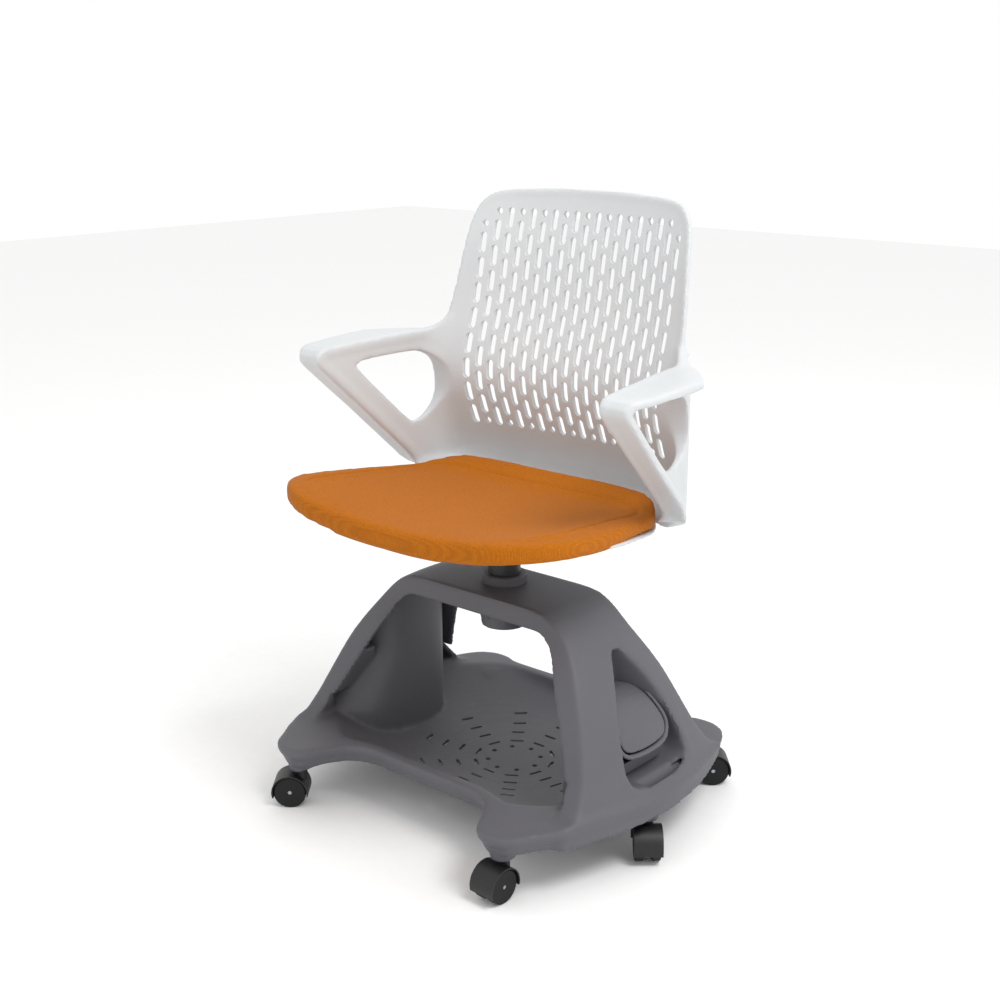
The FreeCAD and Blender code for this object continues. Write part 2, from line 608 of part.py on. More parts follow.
# arms: a closed side frame each, a wide rail on top, and a floor flange that joins the two sides
ARM_SIDE = [(122, 700), (60, 692), (-112, 688), (-124, 676), (-118, 660), (69, 478), (90, 458), (150, 453),
            (156, 470), (150, 520), (124, 560), (112, 590), (112, 640), (126, 680)]
ARM_HOLE = [(-46, 650), (-36, 659), (60, 661), (92, 648), (104, 620), (104, 592), (96, 568), (72, 551), (60, 553)]
side_face = Part.Face(wire_through([(243, y, z) for y, z in ARM_SIDE]))
side_frame = side_face.extrude(Vector(44, 0, 0))
side_frame = side_frame.cut(prism([(200, y, z) for y, z in ARM_HOLE], (200, 0, 0)))
side_frame.rotate(Vector(246, 60, 0), Vector(0, 0, 1), -6.3)
RAIL = [(222, 136), (250, 110), (290, 62), (317, 4), (321, -84), (312, -114), (268, -124), (256, -40),
        (247, 40), (240, 90), (214, 118)]
rail = prism([(x, y, 678) for x, y in RAIL], (0, 0, 12))
shoulder = prism([(206, 128, 672), (232, 108, 672), (252, 96, 672), (262, 110, 672), (240, 136, 672),
                  (212, 152, 672)], (0, 0, 40))
foot = prism([(222, 100, 458), (262, 92, 458), (250, 152, 458), (222, 158, 458)], (0, 0, 70))
arm = side_frame.fuse([rail, shoulder, foot])
TONGUE = [(86, 236, 449, 12), (112, 236, 456, 9), (130, 236, 461, 5), (150, 234, 463, 2), (182, 226, 464, 0)]
tongue = seat_loft(TONGUE, -10, -5.3, 0)
rear_curve = [(x, back_front(x, 178) + BACK_THICK, 400) for x in (-250, -180, -120, -60, 0, 60, 120, 180, 250)]
rear_face = Part.Face(Part.Wire([smooth(rear_curve), Part.makeLine(Vector(*rear_curve[-1]), Vector(250, 0, 400)),
                                 Part.makeLine(Vector(250, 0, 400), Vector(-250, 0, 400)),
                                 Part.makeLine(Vector(-250, 0, 400), Vector(*rear_curve[0]))]))
tongue = tongue.common(rear_face.extrude(Vector(0, 0, 100)))
shell = panel
for part in both_sides(arm):
    shell = shell.fuse(part)
shell = shell.fuse(tongue)

LAP_Y, LAP_LOW, LAP_RISE = 100, 453, 11
lap_spots = [(x, LAP_Y, LAP_LOW - 10 + LAP_RISE * (x / 236) ** 2) for x in (-150, -50, 50, 150)]

# perforation: nine columns with round ends, eight between them half a pitch lower, one short at each edge
first_height, fall = 879.5, 0.975
pitch = size("slot_pitch")
lead = 0.744 * pitch
cutters = []


def back_slot(x, along):
    high = first_height - along * fall
    straight = size("slot_tall") - size("slot_across")
    wide = size("slot_across") / 2
    loop = [(-wide, -straight / 2), (-wide * 0.7, -straight / 2 - wide * 0.7), (0, -straight / 2 - wide),
            (wide * 0.7, -straight / 2 - wide * 0.7), (wide, -straight / 2), (wide, straight / 2),
            (wide * 0.7, straight / 2 + wide * 0.7), (0, straight / 2 + wide),
            (-wide * 0.7, straight / 2 + wide * 0.7), (-wide, straight / 2)]
    return prism([(x + across, 60, high + up) for across, up in loop], (0, 190, 0))


def back_hole(x, along):
    high = first_height - along * fall
    return Part.makeCylinder(size("pin_hole") - 0.2, 190, Vector(x, 60, high), Vector(0, 1, 0))


for column in range(-4, 5):
    x = column * size("column_pitch")
    cutters += [back_hole(x, 0), back_hole(x, 2 * lead + 7 * pitch)]
    cutters += [back_slot(x, lead + row * pitch) for row in range(8)]
for column in range(-4, 4):
    x = (column + 0.5) * size("column_pitch")
    cutters += [back_slot(x, lead + (row - 0.5) * pitch) for row in range(9)]
for x in (-183.3, 183.3):
    cutters.append(back_hole(x, 0.5 * pitch))
    cutters += [back_slot(x, lead + (row + 0.5) * pitch) for row in range(8)]
shell = shell.cut(Part.makeCompound(cutters))
for x, y, z in lap_spots:
    drill = Part.makeCylinder(2.5, 20, Vector(x, y, z - 6))
    sink = Part.makeCylinder(5, 6, Vector(x, y, z - 6))
    shell = shell.cut(drill).cut(sink)
    pan = pan.cut(drill)
solid_piece("seat_pan", pan.removeSplitter())
solid_piece("seat_cushion", cushion)
solid_piece("back_shell", shell.removeSplitter())

# ---------------------------------------------------------------- screws


def screw(spot, down, shank, length, head):
    """Pan-head screw: its head outside the clamped face, its shank along the given way."""
    way = Vector(*down)
    start = Vector(*spot)
    body = Part.makeCylinder(shank, length, start, way)
    cap = Part.makeCylinder(head, 2.4, start - way * 2.4, way)
    return body.fuse(cap)


plate_screws = [screw((x, y, size("plate_low")), (0, 0, 1), 3, 9, 6)
                for x in (-76, 76) for y in (-66, 66)]
solid_piece("plate_screws", Part.makeCompound(plate_screws))
back_screws = [screw(spot, (0, 0, 1), 2.5, 8.5, 5) for spot in lap_spots]
solid_piece("back_screws", Part.makeCompound(back_screws))

# ---------------------------------------------------------------- castors
sleeves = []
for x, y, heading in CASTORS.values():
    foot = Vector(x, y, size("boss_bottom"))
    tall = size("sleeve_high") - size("boss_bottom")
    sleeves.append(Part.makeCylinder(size("sleeve_radius"), tall, foot).cut(
        Part.makeCylinder(size("stem_radius") + size("running_gap"), tall, foot)))
solid_piece("castor_sleeves", Part.makeCompound(sleeves))

for name, (x, y, heading) in CASTORS.items():
    place = Placement(Vector(x, y, 0), Rotation(Vector(0, 0, 1), heading))
    fixed = len(pieces)
    turned(name + "_stem", [("0", "neck_high - 9"), ("stem_radius", "neck_high - 9"),
                            ("stem_radius", "stem_high - 1"), ("stem_radius - 1", "stem_high"),
                            ("0", "stem_high")])
    hood = new_body(name + "_hood")
    cover_sketch = new_sketch(hood, "XZ_Plane", name + "_cover_outline")
    ring(cover_sketch, "castor_trail", "wheel_radius", "hood_radius")
    padded(hood, cover_sketch, name + "_cover", "hood_wide", both_ways=True)
    for flip, tag in ((False, "near"), (True, "far")):
        well_sketch = new_sketch(hood, "XZ_Plane", f"{name}_{tag}_well")
        ring(well_sketch, "castor_trail", "wheel_radius", "hood_radius - hood_wall")
        lift = size("web_wide") / 2 * (-1 if flip else 1)
        well_sketch.AttachmentOffset = Placement(Vector(0, 0, lift), Rotation())
        pocketed(hood, well_sketch, f"{name}_{tag}_hollow", "hood_wide", reverse=not flip)
    chop_sketch = new_sketch(hood, "XZ_Plane", name + "_open_side")
    outline(chop_sketch, [("castor_trail - 40", "wheel_radius - 4"), ("castor_trail - 40", "-20"),
                          ("castor_trail + 40", "-20"), ("castor_trail + 40", "wheel_radius - 8"),
                          ("castor_trail + 9", "wheel_radius - 8"), ("castor_trail", "wheel_radius - 9"),
                          ("castor_trail - 9", "wheel_radius - 8")])
    pocketed(hood, chop_sketch, name + "_open_cut", "4 * hood_wide", both_ways=True)
    neck_sketch = new_sketch(hood, "XY_Plane", name + "_neck_outline")
    ring(neck_sketch, "0", "0", "neck_radius")
    neck_sketch.AttachmentOffset = Placement(Vector(0, 0, 40), Rotation())
    padded(hood, neck_sketch, name + "_neck", "neck_high - 40")
    for flip, tag in ((False, "near"), (True, "far")):
        trim = new_sketch(hood, "XZ_Plane", f"{name}_{tag}_trim")
        ring(trim, "castor_trail", "wheel_radius", "hood_radius - hood_wall")
        lift = size("web_wide") / 2 * (-1 if flip else 1)
        trim.AttachmentOffset = Placement(Vector(0, 0, lift), Rotation())
        pocketed(hood, trim, f"{name}_{tag}_trim_cut", "hood_wide", reverse=not flip)
    bore = new_sketch(hood, "XY_Plane", name + "_stem_bore")
    ring(bore, "0", "0", "stem_radius")
    bore.AttachmentOffset = Placement(Vector(0, 0, size("neck_high") - 9), Rotation())
    pocketed(hood, bore, name + "_stem_bore_cut", "20", reverse=True)
    eye = new_sketch(hood, "XZ_Plane", name + "_axle_eye")
    ring(eye, "castor_trail", "wheel_radius", "axle_radius + running_gap")
    pocketed(hood, eye, name + "_axle_eye_cut", "4 * web_wide", both_ways=True)
    axle = new_body(name + "_axle")
    axle_sketch = new_sketch(axle, "XZ_Plane", name + "_axle_circle")
    ring(axle_sketch, "castor_trail", "wheel_radius", "axle_radius")
    padded(axle, axle_sketch, name + "_axle_pad", "hood_wide - 6", both_ways=True)
    for side, tag in ((1, "wheel_a"), (-1, "wheel_b")):
        wheel = new_body(f"{name}_{tag}")
        half = new_sketch(wheel, "YZ_Plane", f"{name}_{tag}_section")
        near = "web_wide / 2 + 0.6" if side > 0 else "-(web_wide / 2 + 0.6)"
        sign = "" if side > 0 else "-"
        far = f"{sign}(web_wide / 2 + 0.6 + wheel_wide)"
        skirt = f"{sign}(web_wide / 2 + 2.6)"
        outline(half, [(near, "axle_radius"), (far, "axle_radius"), (far, "wheel_radius - 1.5"),
                       (f"{sign}(web_wide / 2 - 0.9 + wheel_wide)", "wheel_radius"),
                       (f"{sign}(web_wide / 2 + 4)", "wheel_radius"), (skirt, "wheel_radius - 2"),
                       (skirt, "wheel_radius - 4"),
                       (f"{sign}(web_wide / 2 - 2.4 + wheel_wide)", "wheel_radius - 4"),
                       (f"{sign}(web_wide / 2 - 2.4 + wheel_wide)", "hub_radius"), (near, "hub_radius")])
        spin = wheel.newObject("PartDesign::Revolution", f"{name}_{tag}_turn")
        spin.Profile = half
        spin.ReferenceAxis = (half, ["H_Axis"])
        spin.Angle = 360
        doc.recompute()
        rise = Placement(Vector(size("castor_trail"), 0, size("wheel_radius")), Rotation())
        wheel.Placement = rise
    for piece in pieces[fixed:]:
        piece.Placement = place.multiply(piece.Placement)

# ---------------------------------------------------------------- check and write
doc.recompute()
for item in doc.Objects:
    if "Invalid" in item.State or "Error" in item.State:
        raise RuntimeError("failed object: " + item.Name)
os.makedirs("parts", exist_ok=True)
for piece in pieces:
    if piece.Shape.isNull() or not piece.Shape.isValid():
        raise RuntimeError("bad shape: " + piece.Label)
for piece in pieces:
    piece.Shape.exportStep(f"parts/{piece.Label}.step")
print(len(pieces), "pieces written")
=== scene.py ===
import math

import bmesh
import bpy
import numpy as np
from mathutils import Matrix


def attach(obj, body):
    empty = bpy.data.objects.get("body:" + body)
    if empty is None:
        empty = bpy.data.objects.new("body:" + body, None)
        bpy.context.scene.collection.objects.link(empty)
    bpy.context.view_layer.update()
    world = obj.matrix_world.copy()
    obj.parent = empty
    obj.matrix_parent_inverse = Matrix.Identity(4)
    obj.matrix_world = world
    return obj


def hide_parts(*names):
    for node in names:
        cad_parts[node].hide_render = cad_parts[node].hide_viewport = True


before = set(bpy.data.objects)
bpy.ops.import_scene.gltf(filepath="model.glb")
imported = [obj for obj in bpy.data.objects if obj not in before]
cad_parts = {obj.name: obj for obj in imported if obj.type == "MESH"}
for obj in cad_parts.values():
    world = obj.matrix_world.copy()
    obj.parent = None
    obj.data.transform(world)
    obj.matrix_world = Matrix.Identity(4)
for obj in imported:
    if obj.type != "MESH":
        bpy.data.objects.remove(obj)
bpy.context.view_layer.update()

import openvdb
from mathutils import Vector

# Everything below is sized in millimetres, +Z up, the sitter facing -Y, and turned to metres at the mesh.

# ---- Base moulding -----------------------------------------------------------------------------
# The tray, the two hollow legs, the bridge over them and the pockets behind the niches. One heavy
# injection moulding in grey polypropylene with a fine spark-eroded texture. A real wall is probably about
# 4 mm thick; these are drawn at 7 to 8.5 mm, about two steps of the lattice they are grown on.

MM = 0.001
BASE_STEP = 4.15
WALL = 8.5
FLOOR_WALL = 7
RIM_LOW, RIM_HIGH = 70, 103
FLOOR_BACK = 25


def soft(points, closed=True, steps=5):
    """Points along a smooth curve that passes through the ones given."""
    spots = np.array(points, dtype=float)
    count = len(spots)
    out = []
    for index in range(count if closed else count - 1):
        if closed:
            a, b, c, d = (spots[(index + shift) % count] for shift in (-1, 0, 1, 2))
        else:
            a, b, c, d = (spots[min(max(index + shift, 0), count - 1)] for shift in (-1, 0, 1, 2))
        for step in range(steps):
            t = step / steps
            out.append(tuple(0.5 * (2 * b + (c - a) * t + (2 * a - 5 * b + 4 * c - d) * t * t
                                    + (3 * b - a - 3 * c + d) * t ** 3)))
    if not closed:
        out.append(tuple(spots[-1]))
    return out


def mirrored(half):
    """A closed outline from its +X half, which starts and ends on the middle line."""
    return list(half) + [(-x, y) for x, y in reversed(half[1:-1])]


def outline_depth(points, across, up):
    """Distance to a closed outline in its own plane, negative inside it."""
    shape = np.broadcast(across, up).shape
    nearest = np.full(shape, 1e9, dtype=np.float32)
    inside = np.zeros(shape, dtype=bool)
    for (ax, ay), (bx, by) in zip(points, points[1:] + points[:1]):
        ex, ey = bx - ax, by - ay
        long = ex * ex + ey * ey
        if long < 1e-9:
            continue
        along = np.clip(((across - ax) * ex + (up - ay) * ey) / long, 0, 1)
        nearest = np.minimum(nearest, (across - ax - along * ex) ** 2 + (up - ay - along * ey) ** 2)
        if abs(ey) > 1e-9:
            inside ^= ((ay > up) != (by > up)) & (across < ax + (up - ay) * ex / ey)
    return np.where(inside, -1, 1).astype(np.float32) * np.sqrt(nearest)


def line_depth(points, across, up):
    """Distance to an open line in its own plane."""
    nearest = np.full(np.broadcast(across, up).shape, 1e9, dtype=np.float32)
    for (ax, ay), (bx, by) in zip(points[:-1], points[1:]):
        ex, ey = bx - ax, by - ay
        along = np.clip(((across - ax) * ex + (up - ay) * ey) / (ex * ex + ey * ey), 0, 1)
        nearest = np.minimum(nearest, (across - ax - along * ex) ** 2 + (up - ay - along * ey) ** 2)
    return np.sqrt(nearest)


def joined(a, b, fillet):
    """Two solids as one, with a fillet in the corner between them."""
    share = np.clip(0.5 + 0.5 * (b - a) / fillet, 0, 1)
    return b + (a - b) * share - fillet * share * (1 - share)


def common(a, b, edge):
    """What two solids share, with its edge rounded."""
    return -joined(-a, -b, edge)


def carved(a, b, edge):
    """A solid with another taken out of it, its edge rounded."""
    return -joined(-a, b, edge)


def lattice(low, high, step):
    """The three axes of a block of space, shaped to combine into one array."""
    x, y, z = (np.arange(a, b + step, step, dtype=np.float32) for a, b in zip(low, high))
    return x[:, None, None], y[None, :, None], z[None, None, :]


def grown(name, depth, low, step):
    """An object whose skin is where the depth changes sign."""
    grid = openvdb.FloatGrid(3.0 * step)
    grid.copyFromArray(np.clip(depth, -3 * step, 3 * step).astype(np.float32))
    grid.transform = openvdb.createLinearTransform(voxelSize=step)
    points, quads = grid.convertToQuads(isovalue=0.0)
    mesh = bpy.data.meshes.new(name)
    mesh.from_pydata(((points + np.array(low)) * MM).tolist(), [], quads.tolist())
    piece = bpy.data.objects.new(name, mesh)
    bpy.context.collection.objects.link(piece)
    face_outwards(piece)
    return piece


def face_outwards(piece):
    """Faces of a closed piece point out and are shaded smooth."""
    shape = bmesh.new()
    shape.from_mesh(piece.data)
    bmesh.ops.recalc_face_normals(shape, faces=shape.faces)
    for face in shape.faces:
        face.smooth = True
    shape.to_mesh(piece.data)
    shape.free()


def sharpened(piece, degrees):
    """Edges that turn more than this stay crisp."""
    shape = bmesh.new()
    shape.from_mesh(piece.data)
    limit = math.radians(degrees)
    for edge in shape.edges:
        edge.smooth = len(edge.link_faces) != 2 or edge.calc_face_angle(0) < limit
    for face in shape.faces:
        face.smooth = True
    shape.to_mesh(piece.data)
    shape.free()


def even(piece, factor, repeat):
    """Light smoothing that takes out the steps of the lattice."""
    smooth = piece.modifiers.new("even", "SMOOTH")
    smooth.factor = factor
    smooth.iterations = repeat
    settle(piece)


def settle(piece):
    """The piece's modifiers become its mesh."""
    graph = bpy.context.evaluated_depsgraph_get()
    mesh = bpy.data.meshes.new_from_object(piece.evaluated_get(graph))
    piece.modifiers.clear()
    old = piece.data
    piece.data = mesh
    bpy.data.meshes.remove(old)


def add_node(tree, kind, inputs=None, **settings):
    """One node, its settings, and its inputs as values or as links from other sockets."""
    node = tree.nodes.new(kind)
    for name, value in settings.items():
        setattr(node, name, value)
    for name, value in (inputs or {}).items():
        if isinstance(value, bpy.types.NodeSocket):
            tree.links.new(value, node.inputs[name])
        else:
            node.inputs[name].default_value = value
    return node


def sum_of(tree, how, first, second=0.0):
    """The result of one sum on values or sockets."""
    return add_node(tree, "ShaderNodeMath", {0: first, 1: second}, operation=how).outputs[0]


def cutting_tree(name, sizes):
    """An empty Geometry Nodes tree with these named sizes, and its input sockets."""
    tree = bpy.data.node_groups.new(name, "GeometryNodeTree")
    tree.interface.new_socket("Geometry", in_out="INPUT", socket_type="NodeSocketGeometry")
    for label, kind in sizes.items():
        tree.interface.new_socket(label, in_out="INPUT", socket_type="NodeSocket" + kind)
    tree.interface.new_socket("Finish", in_out="INPUT", socket_type="NodeSocketMaterial")
    tree.interface.new_socket("Geometry", in_out="OUTPUT", socket_type="NodeSocketGeometry")
    return tree, add_node(tree, "NodeGroupInput").outputs


def cut_away(tree, given, bars):
    """Ends a cutting tree: the bars are taken out of the piece."""
    cutters = add_node(tree, "GeometryNodeRealizeInstances", {"Geometry": bars.outputs[0]})
    cut = add_node(tree, "GeometryNodeMeshBoolean", {"Mesh 1": given["Geometry"], "Mesh 2": cutters.outputs[0]},
                   operation="DIFFERENCE", solver="MANIFOLD")
    whole = add_node(tree, "GeometryNodeRealizeInstances", {"Geometry": cut.outputs["Mesh"]})
    finish = add_node(tree, "GeometryNodeSetMaterial", {"Geometry": whole.outputs[0], "Material": given["Finish"]})
    add_node(tree, "NodeGroupOutput", {"Geometry": finish.outputs[0]})


def cut_with(piece, tree, **sizes):
    """Runs a cutting tree on a piece with these sizes and keeps the result."""
    modifier = piece.modifiers.new(tree.name, "NODES")
    modifier.node_group = tree
    for item in tree.interface.items_tree:
        if item.in_out == "INPUT" and item.name in sizes:
            modifier[item.identifier] = sizes[item.name]
    settle(piece)


def linear(code):
    """A paint-chart colour, sRGB hex, as the linear values a shader takes."""
    parts = [int(code[start:start + 2], 16) / 255 for start in (0, 2, 4)]
    return tuple(c / 12.92 if c <= 0.04045 else ((c + 0.055) / 1.055) ** 2.4 for c in parts) + (1.0,)


def new_material(name, settings):
    """A finish with these constants on its shader, and its tree, shader and Object coordinates."""
    material = bpy.data.materials.new(name)
    material.use_nodes = True
    tree = material.node_tree
    shader = tree.nodes["Principled BSDF"]
    for label, value in settings.items():
        shader.inputs[label].default_value = value
    return material, tree, shader, add_node(tree, "ShaderNodeTexCoord").outputs["Object"]


def feed(tree, shader, **sources):
    """Links sockets into the shader's colour, roughness and normal."""
    for label, name in (("color", "Base Color"), ("roughness", "Roughness"), ("normal", "Normal")):
        if label in sources:
            tree.links.new(sources[label], shader.inputs[name])


def refinish(material, *names):
    """CAD pieces keep their shape and take this finish."""
    for name in names:
        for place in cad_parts[name].material_slots:
            place.material = material


# Rim and well, in plan, as +X halves from the front to the rear
RIM_PLAN = soft(mirrored([(0, -191), (60, -191), (104, -192), (136, -204), (156, -232), (176, -266), (200, -276),
                          (232, -266), (254, -234), (275, -196), (297, -120), (313, -60), (318, 0),
                          (313, 60), (299, 120), (286, 172), (270, 214), (250, 238), (224, 249),
                          (200, 248), (176, 240), (133, 238), (60, 239), (0, 239)]))
WELL_PLAN = soft(mirrored([(0, -171), (60, -170), (108, -170), (148, -180), (176, -201), (204, -209),
                           (229, -203), (240, -184), (236, -160), (240, -138), (262, -116), (280, -60), (286, 0),
                           (281, 60), (266, 112), (248, 146), (232, 172), (216, 200), (196, 219),
                           (150, 219), (60, 214), (0, 214)]))
# Leg and bridge seen from the front: outer face at the flanges, and the opening under the bridge
OUTER_EDGE = soft([(-60, 347), (60, 347), (112, 346), (136, 342), (159, 328), (187, 298), (224, 243), (253, 178),
                   (271, 123), (275, 100), (277, 80), (277, 50)], closed=False, steps=3) + [(-60, 50)]
OPENING = soft([(-60, 315), (60, 315), (112, 315), (128, 313), (142, 305), (154, 292), (188, 229), (213, 179),
                (235, 132), (246, 104), (252, 84), (254, 40)], closed=False, steps=3) + [(-60, 40)]
# Legs seen from the side: front and rear flanges
LEG_SIDE = soft([(-74, 380), (-74, 346), (-74, 330), (-79, 300), (-106, 242), (-129, 180), (-147, 140), (-172, 106),
                 (-196, 84), (-204, 50)], closed=False, steps=3)
LEG_SIDE += soft([(190, 50), (184, 84), (164, 106), (138, 140), (120, 180), (97, 242), (72, 300), (66, 330),
                  (66, 346), (66, 380)], closed=False, steps=3)
# Extra width of the leg's outer face at its middle, by height
BULGE_HEIGHTS = [60, 100, 140, 180, 240, 300, 332, 350]
BULGE = [42, 32, 25, 21, 17, 12, 8, 0]
# Niche in each leg's outer face, seen from the side
NICHE = soft([(0, 305), (16, 302), (27, 290), (38, 262), (47, 232), (58, 196), (70, 156), (72, 134), (64, 119),
              (40, 113), (0, 113)], closed=False, steps=4)
NICHE_CENTRE = 5
NICHE_BACK = 187
POCKET_PLAN = soft([(340, -82), (262, -82), (222, -74), (190, -56), (177, -22), (177, 30), (190, 64), (222, 84),
                    (262, 92), (340, 92)], closed=False)
# Column socket under the bridge, its webs, and the ribs and castor bosses
SOCKET_RADIUS, SOCKET_LOW, SOCKET_HIGH = 35.5, 277, 330
BORE_RADIUS = 25.2
WEB_ANGLE = math.pi / 4
RIB_PLACES = (96, 116)
RIB_HALF = 4.4
BOSS_RADIUS, BOSS_LOW, FAIRING_REACH = 18.5, 58.5, 46
CASTOR_SPOTS = ((205, -243), (290, -24), (226, 221))
# Drains in the tray's floor: a ring of holes, then slots from DRAIN_START outwards
DRAIN_RING, DRAIN_HOLE = 42, 8.4
DRAIN_START, DRAIN_STEP, DRAIN_LENGTH, DRAIN_WIDTH = 62, 29, 22, 5.2
CUTTER_MIDDLE, CUTTER_DEPTH = 56, 62

base_low = (-332, -292, 30)
x, y, z = lattice(base_low, (332, 262, 352), BASE_STEP)
side = np.abs(x)

rim_plan = outline_depth(RIM_PLAN, side, y)
well_plan = outline_depth(WELL_PLAN, side, y)
# the rim's outer wall leans in towards the floor, with a broad step under the top
lean = np.interp(z, [RIM_LOW, 84, 90, RIM_HIGH - 3, RIM_HIGH + 8], [13, 7, 2, 0, 1]).astype(np.float32)
rim_top = RIM_HIGH - 9 * np.clip((y - 20) / 170, 0, 1)
rim = common(rim_plan + lean, z - rim_top, 6)
forward, back = np.maximum(0, FLOOR_BACK - y), np.maximum(0, y - FLOOR_BACK)
floor_height = 42 + 39 * (forward / 196) ** 2.8 + 33 * (back / 185) ** 3.4 + 22 * (side / 190) ** 3
well = common(well_plan + np.clip((92 - z) * 0.2, 0, 8), floor_height - z, 12)
tray = carved(rim, well, 4)

bulge = np.interp(z, BULGE_HEIGHTS, BULGE).astype(np.float32)
half_deep = np.interp(z, [60, 100, 140, 180, 240, 300, 350], [190, 173, 143, 124, 101, 76, 70]).astype(np.float32)
swell = bulge * np.clip(1 - ((y + 4) / half_deep) ** 2, 0, 1)
leg_outer = outline_depth(OUTER_EDGE, side - swell, z)
leg_side = outline_depth(LEG_SIDE, y, z)
opening = outline_depth(OPENING, side, z)
arch_outer = common(leg_outer, leg_side, 5)
arch = carved(arch_outer, opening, 3.5)

outside = joined(tray, np.maximum(arch, RIM_LOW - 12 - z), 14)
hollow_tray = tray + FLOOR_WALL
hollow_leg = common(leg_outer + WALL, leg_side + WALL, 5)
base = np.maximum(outside, -hollow_tray)
solid_foot = RIM_HIGH + 3 + 110 * np.clip((-y - 30) / 55, 0, 1)
base = carved(base, np.maximum(hollow_leg, solid_foot - z), 2)
# the well again, because a leg's fillet runs over its edge
base = carved(base, np.maximum(well, z - 140), 5)
base = np.maximum(base, np.minimum(RIM_LOW - z, well_plan + 3))

spread = 1 + 0.62 * np.clip((205 - z) / 100, 0, 1)
pocket = common(outline_depth(POCKET_PLAN, side, np.where(y < 0, y / spread, y)), np.maximum(z - 300, 58 - z), 3)
pocket = np.maximum(pocket, leg_outer + 1)
pocket = np.maximum(pocket, floor_height - 3 - z)
base = joined(base, pocket, 3)
niche = outline_depth(NICHE + [(-v, w) for v, w in reversed(NICHE[1:-1])], y - NICHE_CENTRE, z)
niche = common(niche + np.clip((252 - side) * 0.42, 0, 28), NICHE_BACK - side, 8)
base = carved(base, niche, 5)

# socket for the column under the bridge, with webs round it
turn = np.sqrt(x * x + y * y)
socket = common(turn - SOCKET_RADIUS, SOCKET_LOW - z, 3)
socket = np.maximum(socket, z - SOCKET_HIGH)
web = np.abs((np.arctan2(y, x) / WEB_ANGLE + 0.5) % 1 - 0.5) * WEB_ANGLE * turn - 2
web = np.maximum(web, np.maximum(turn - 58 + (SOCKET_HIGH - z) * 0.55, z - SOCKET_HIGH))
web = np.maximum(web, 286 - z)
cap = np.maximum(np.maximum(np.abs(x) - 120, np.abs(y + 4) - 68), np.abs(z - 342) - 4)
base = np.minimum(base, np.minimum(socket, np.minimum(web, cap)))
# ribs inside each leg, behind the pocket
for place in RIB_PLACES:
    rib = np.maximum(np.abs(y - place + (z - 230) * 0.36) - RIB_HALF, leg_outer + 2)
    rib = np.maximum(rib, np.maximum(-opening - 2, np.maximum(168 - z, z - 312)))
    base = np.minimum(base, np.maximum(rib, leg_side + 3))
# bosses that hold the castor stems, each with a fairing that runs in under the rim
for place_x, place_y in CASTOR_SPOTS:
    reach = math.hypot(place_x, place_y)
    inward = (-place_x / reach, -place_y / reach)
    from_x, from_y = side - place_x, y - place_y
    along = np.clip(from_x * inward[0] + from_y * inward[1], 0, FAIRING_REACH)
    away = np.sqrt((from_x - along * inward[0]) ** 2 + (from_y - along * inward[1]) ** 2)
    boss = common(away - BOSS_RADIUS + along * 0.12, BOSS_LOW + along * 0.28 - z, 2)
    boss = np.maximum(np.maximum(boss, z - 88), np.maximum(-well, -niche))
    base = joined(base, boss, 3)
bore = np.maximum(turn - BORE_RADIUS, 270 - z)
base = np.maximum(base, -bore)
base_moulding = grown("base_moulding", base, base_low, BASE_STEP)
even(base_moulding, 0.5, 2)


# Drain pattern in the floor: a ring of holes and ten spokes of short slots
drain_spokes, given = cutting_tree("drain_spokes", {"Spokes": "Int", "Steps": "Int", "Start": "Float", "Step": "Float",
                                                   "Length": "Float", "Width": "Float", "Turn": "Float"})
total = sum_of(drain_spokes, "MULTIPLY", given["Spokes"], given["Steps"])
number = add_node(drain_spokes, "GeometryNodeInputIndex").outputs[0]
spoke = sum_of(drain_spokes, "FLOORED_MODULO", number, given["Spokes"])
step = sum_of(drain_spokes, "FLOOR",
              sum_of(drain_spokes, "DIVIDE", sum_of(drain_spokes, "ADD", number, 0.01), given["Spokes"]))
angle = sum_of(drain_spokes, "ADD", given["Turn"],
               sum_of(drain_spokes, "MULTIPLY", spoke, sum_of(drain_spokes, "DIVIDE", 2 * math.pi, given["Spokes"])))
out = sum_of(drain_spokes, "ADD", given["Start"], sum_of(drain_spokes, "MULTIPLY", step, given["Step"]))
place_x = sum_of(drain_spokes, "MULTIPLY", out, sum_of(drain_spokes, "COSINE", angle))
place_y = sum_of(drain_spokes, "ADD", sum_of(drain_spokes, "MULTIPLY", out, sum_of(drain_spokes, "SINE", angle)),
                 FLOOR_BACK * MM)
place = add_node(drain_spokes, "ShaderNodeCombineXYZ", {"X": place_x, "Y": place_y, "Z": CUTTER_MIDDLE * MM}).outputs[0]
points = add_node(drain_spokes, "GeometryNodePoints", {"Count": total, "Position": place})
radius = sum_of(drain_spokes, "MULTIPLY", given["Width"], 0.5)
round_bar = add_node(drain_spokes, "GeometryNodeMeshCylinder",
                     {"Vertices": 12, "Radius": radius, "Depth": CUTTER_DEPTH * MM})
rolled = add_node(drain_spokes, "GeometryNodeTransform",
                  {"Geometry": round_bar.outputs["Mesh"], "Rotation": (0, 0, math.pi / 12)})
spot = add_node(drain_spokes, "ShaderNodeSeparateXYZ",
                {0: add_node(drain_spokes, "GeometryNodeInputPosition").outputs[0]})
half_run = sum_of(drain_spokes, "MULTIPLY", sum_of(drain_spokes, "SUBTRACT", given["Length"], given["Width"]), 0.5)
stretch = add_node(drain_spokes, "ShaderNodeCombineXYZ", {
    "Y": sum_of(drain_spokes, "MULTIPLY", sum_of(drain_spokes, "SIGN", spot.outputs["Y"]), half_run)})
drain_bar = add_node(drain_spokes, "GeometryNodeSetPosition",
                     {"Geometry": rolled.outputs[0], "Offset": stretch.outputs[0]})
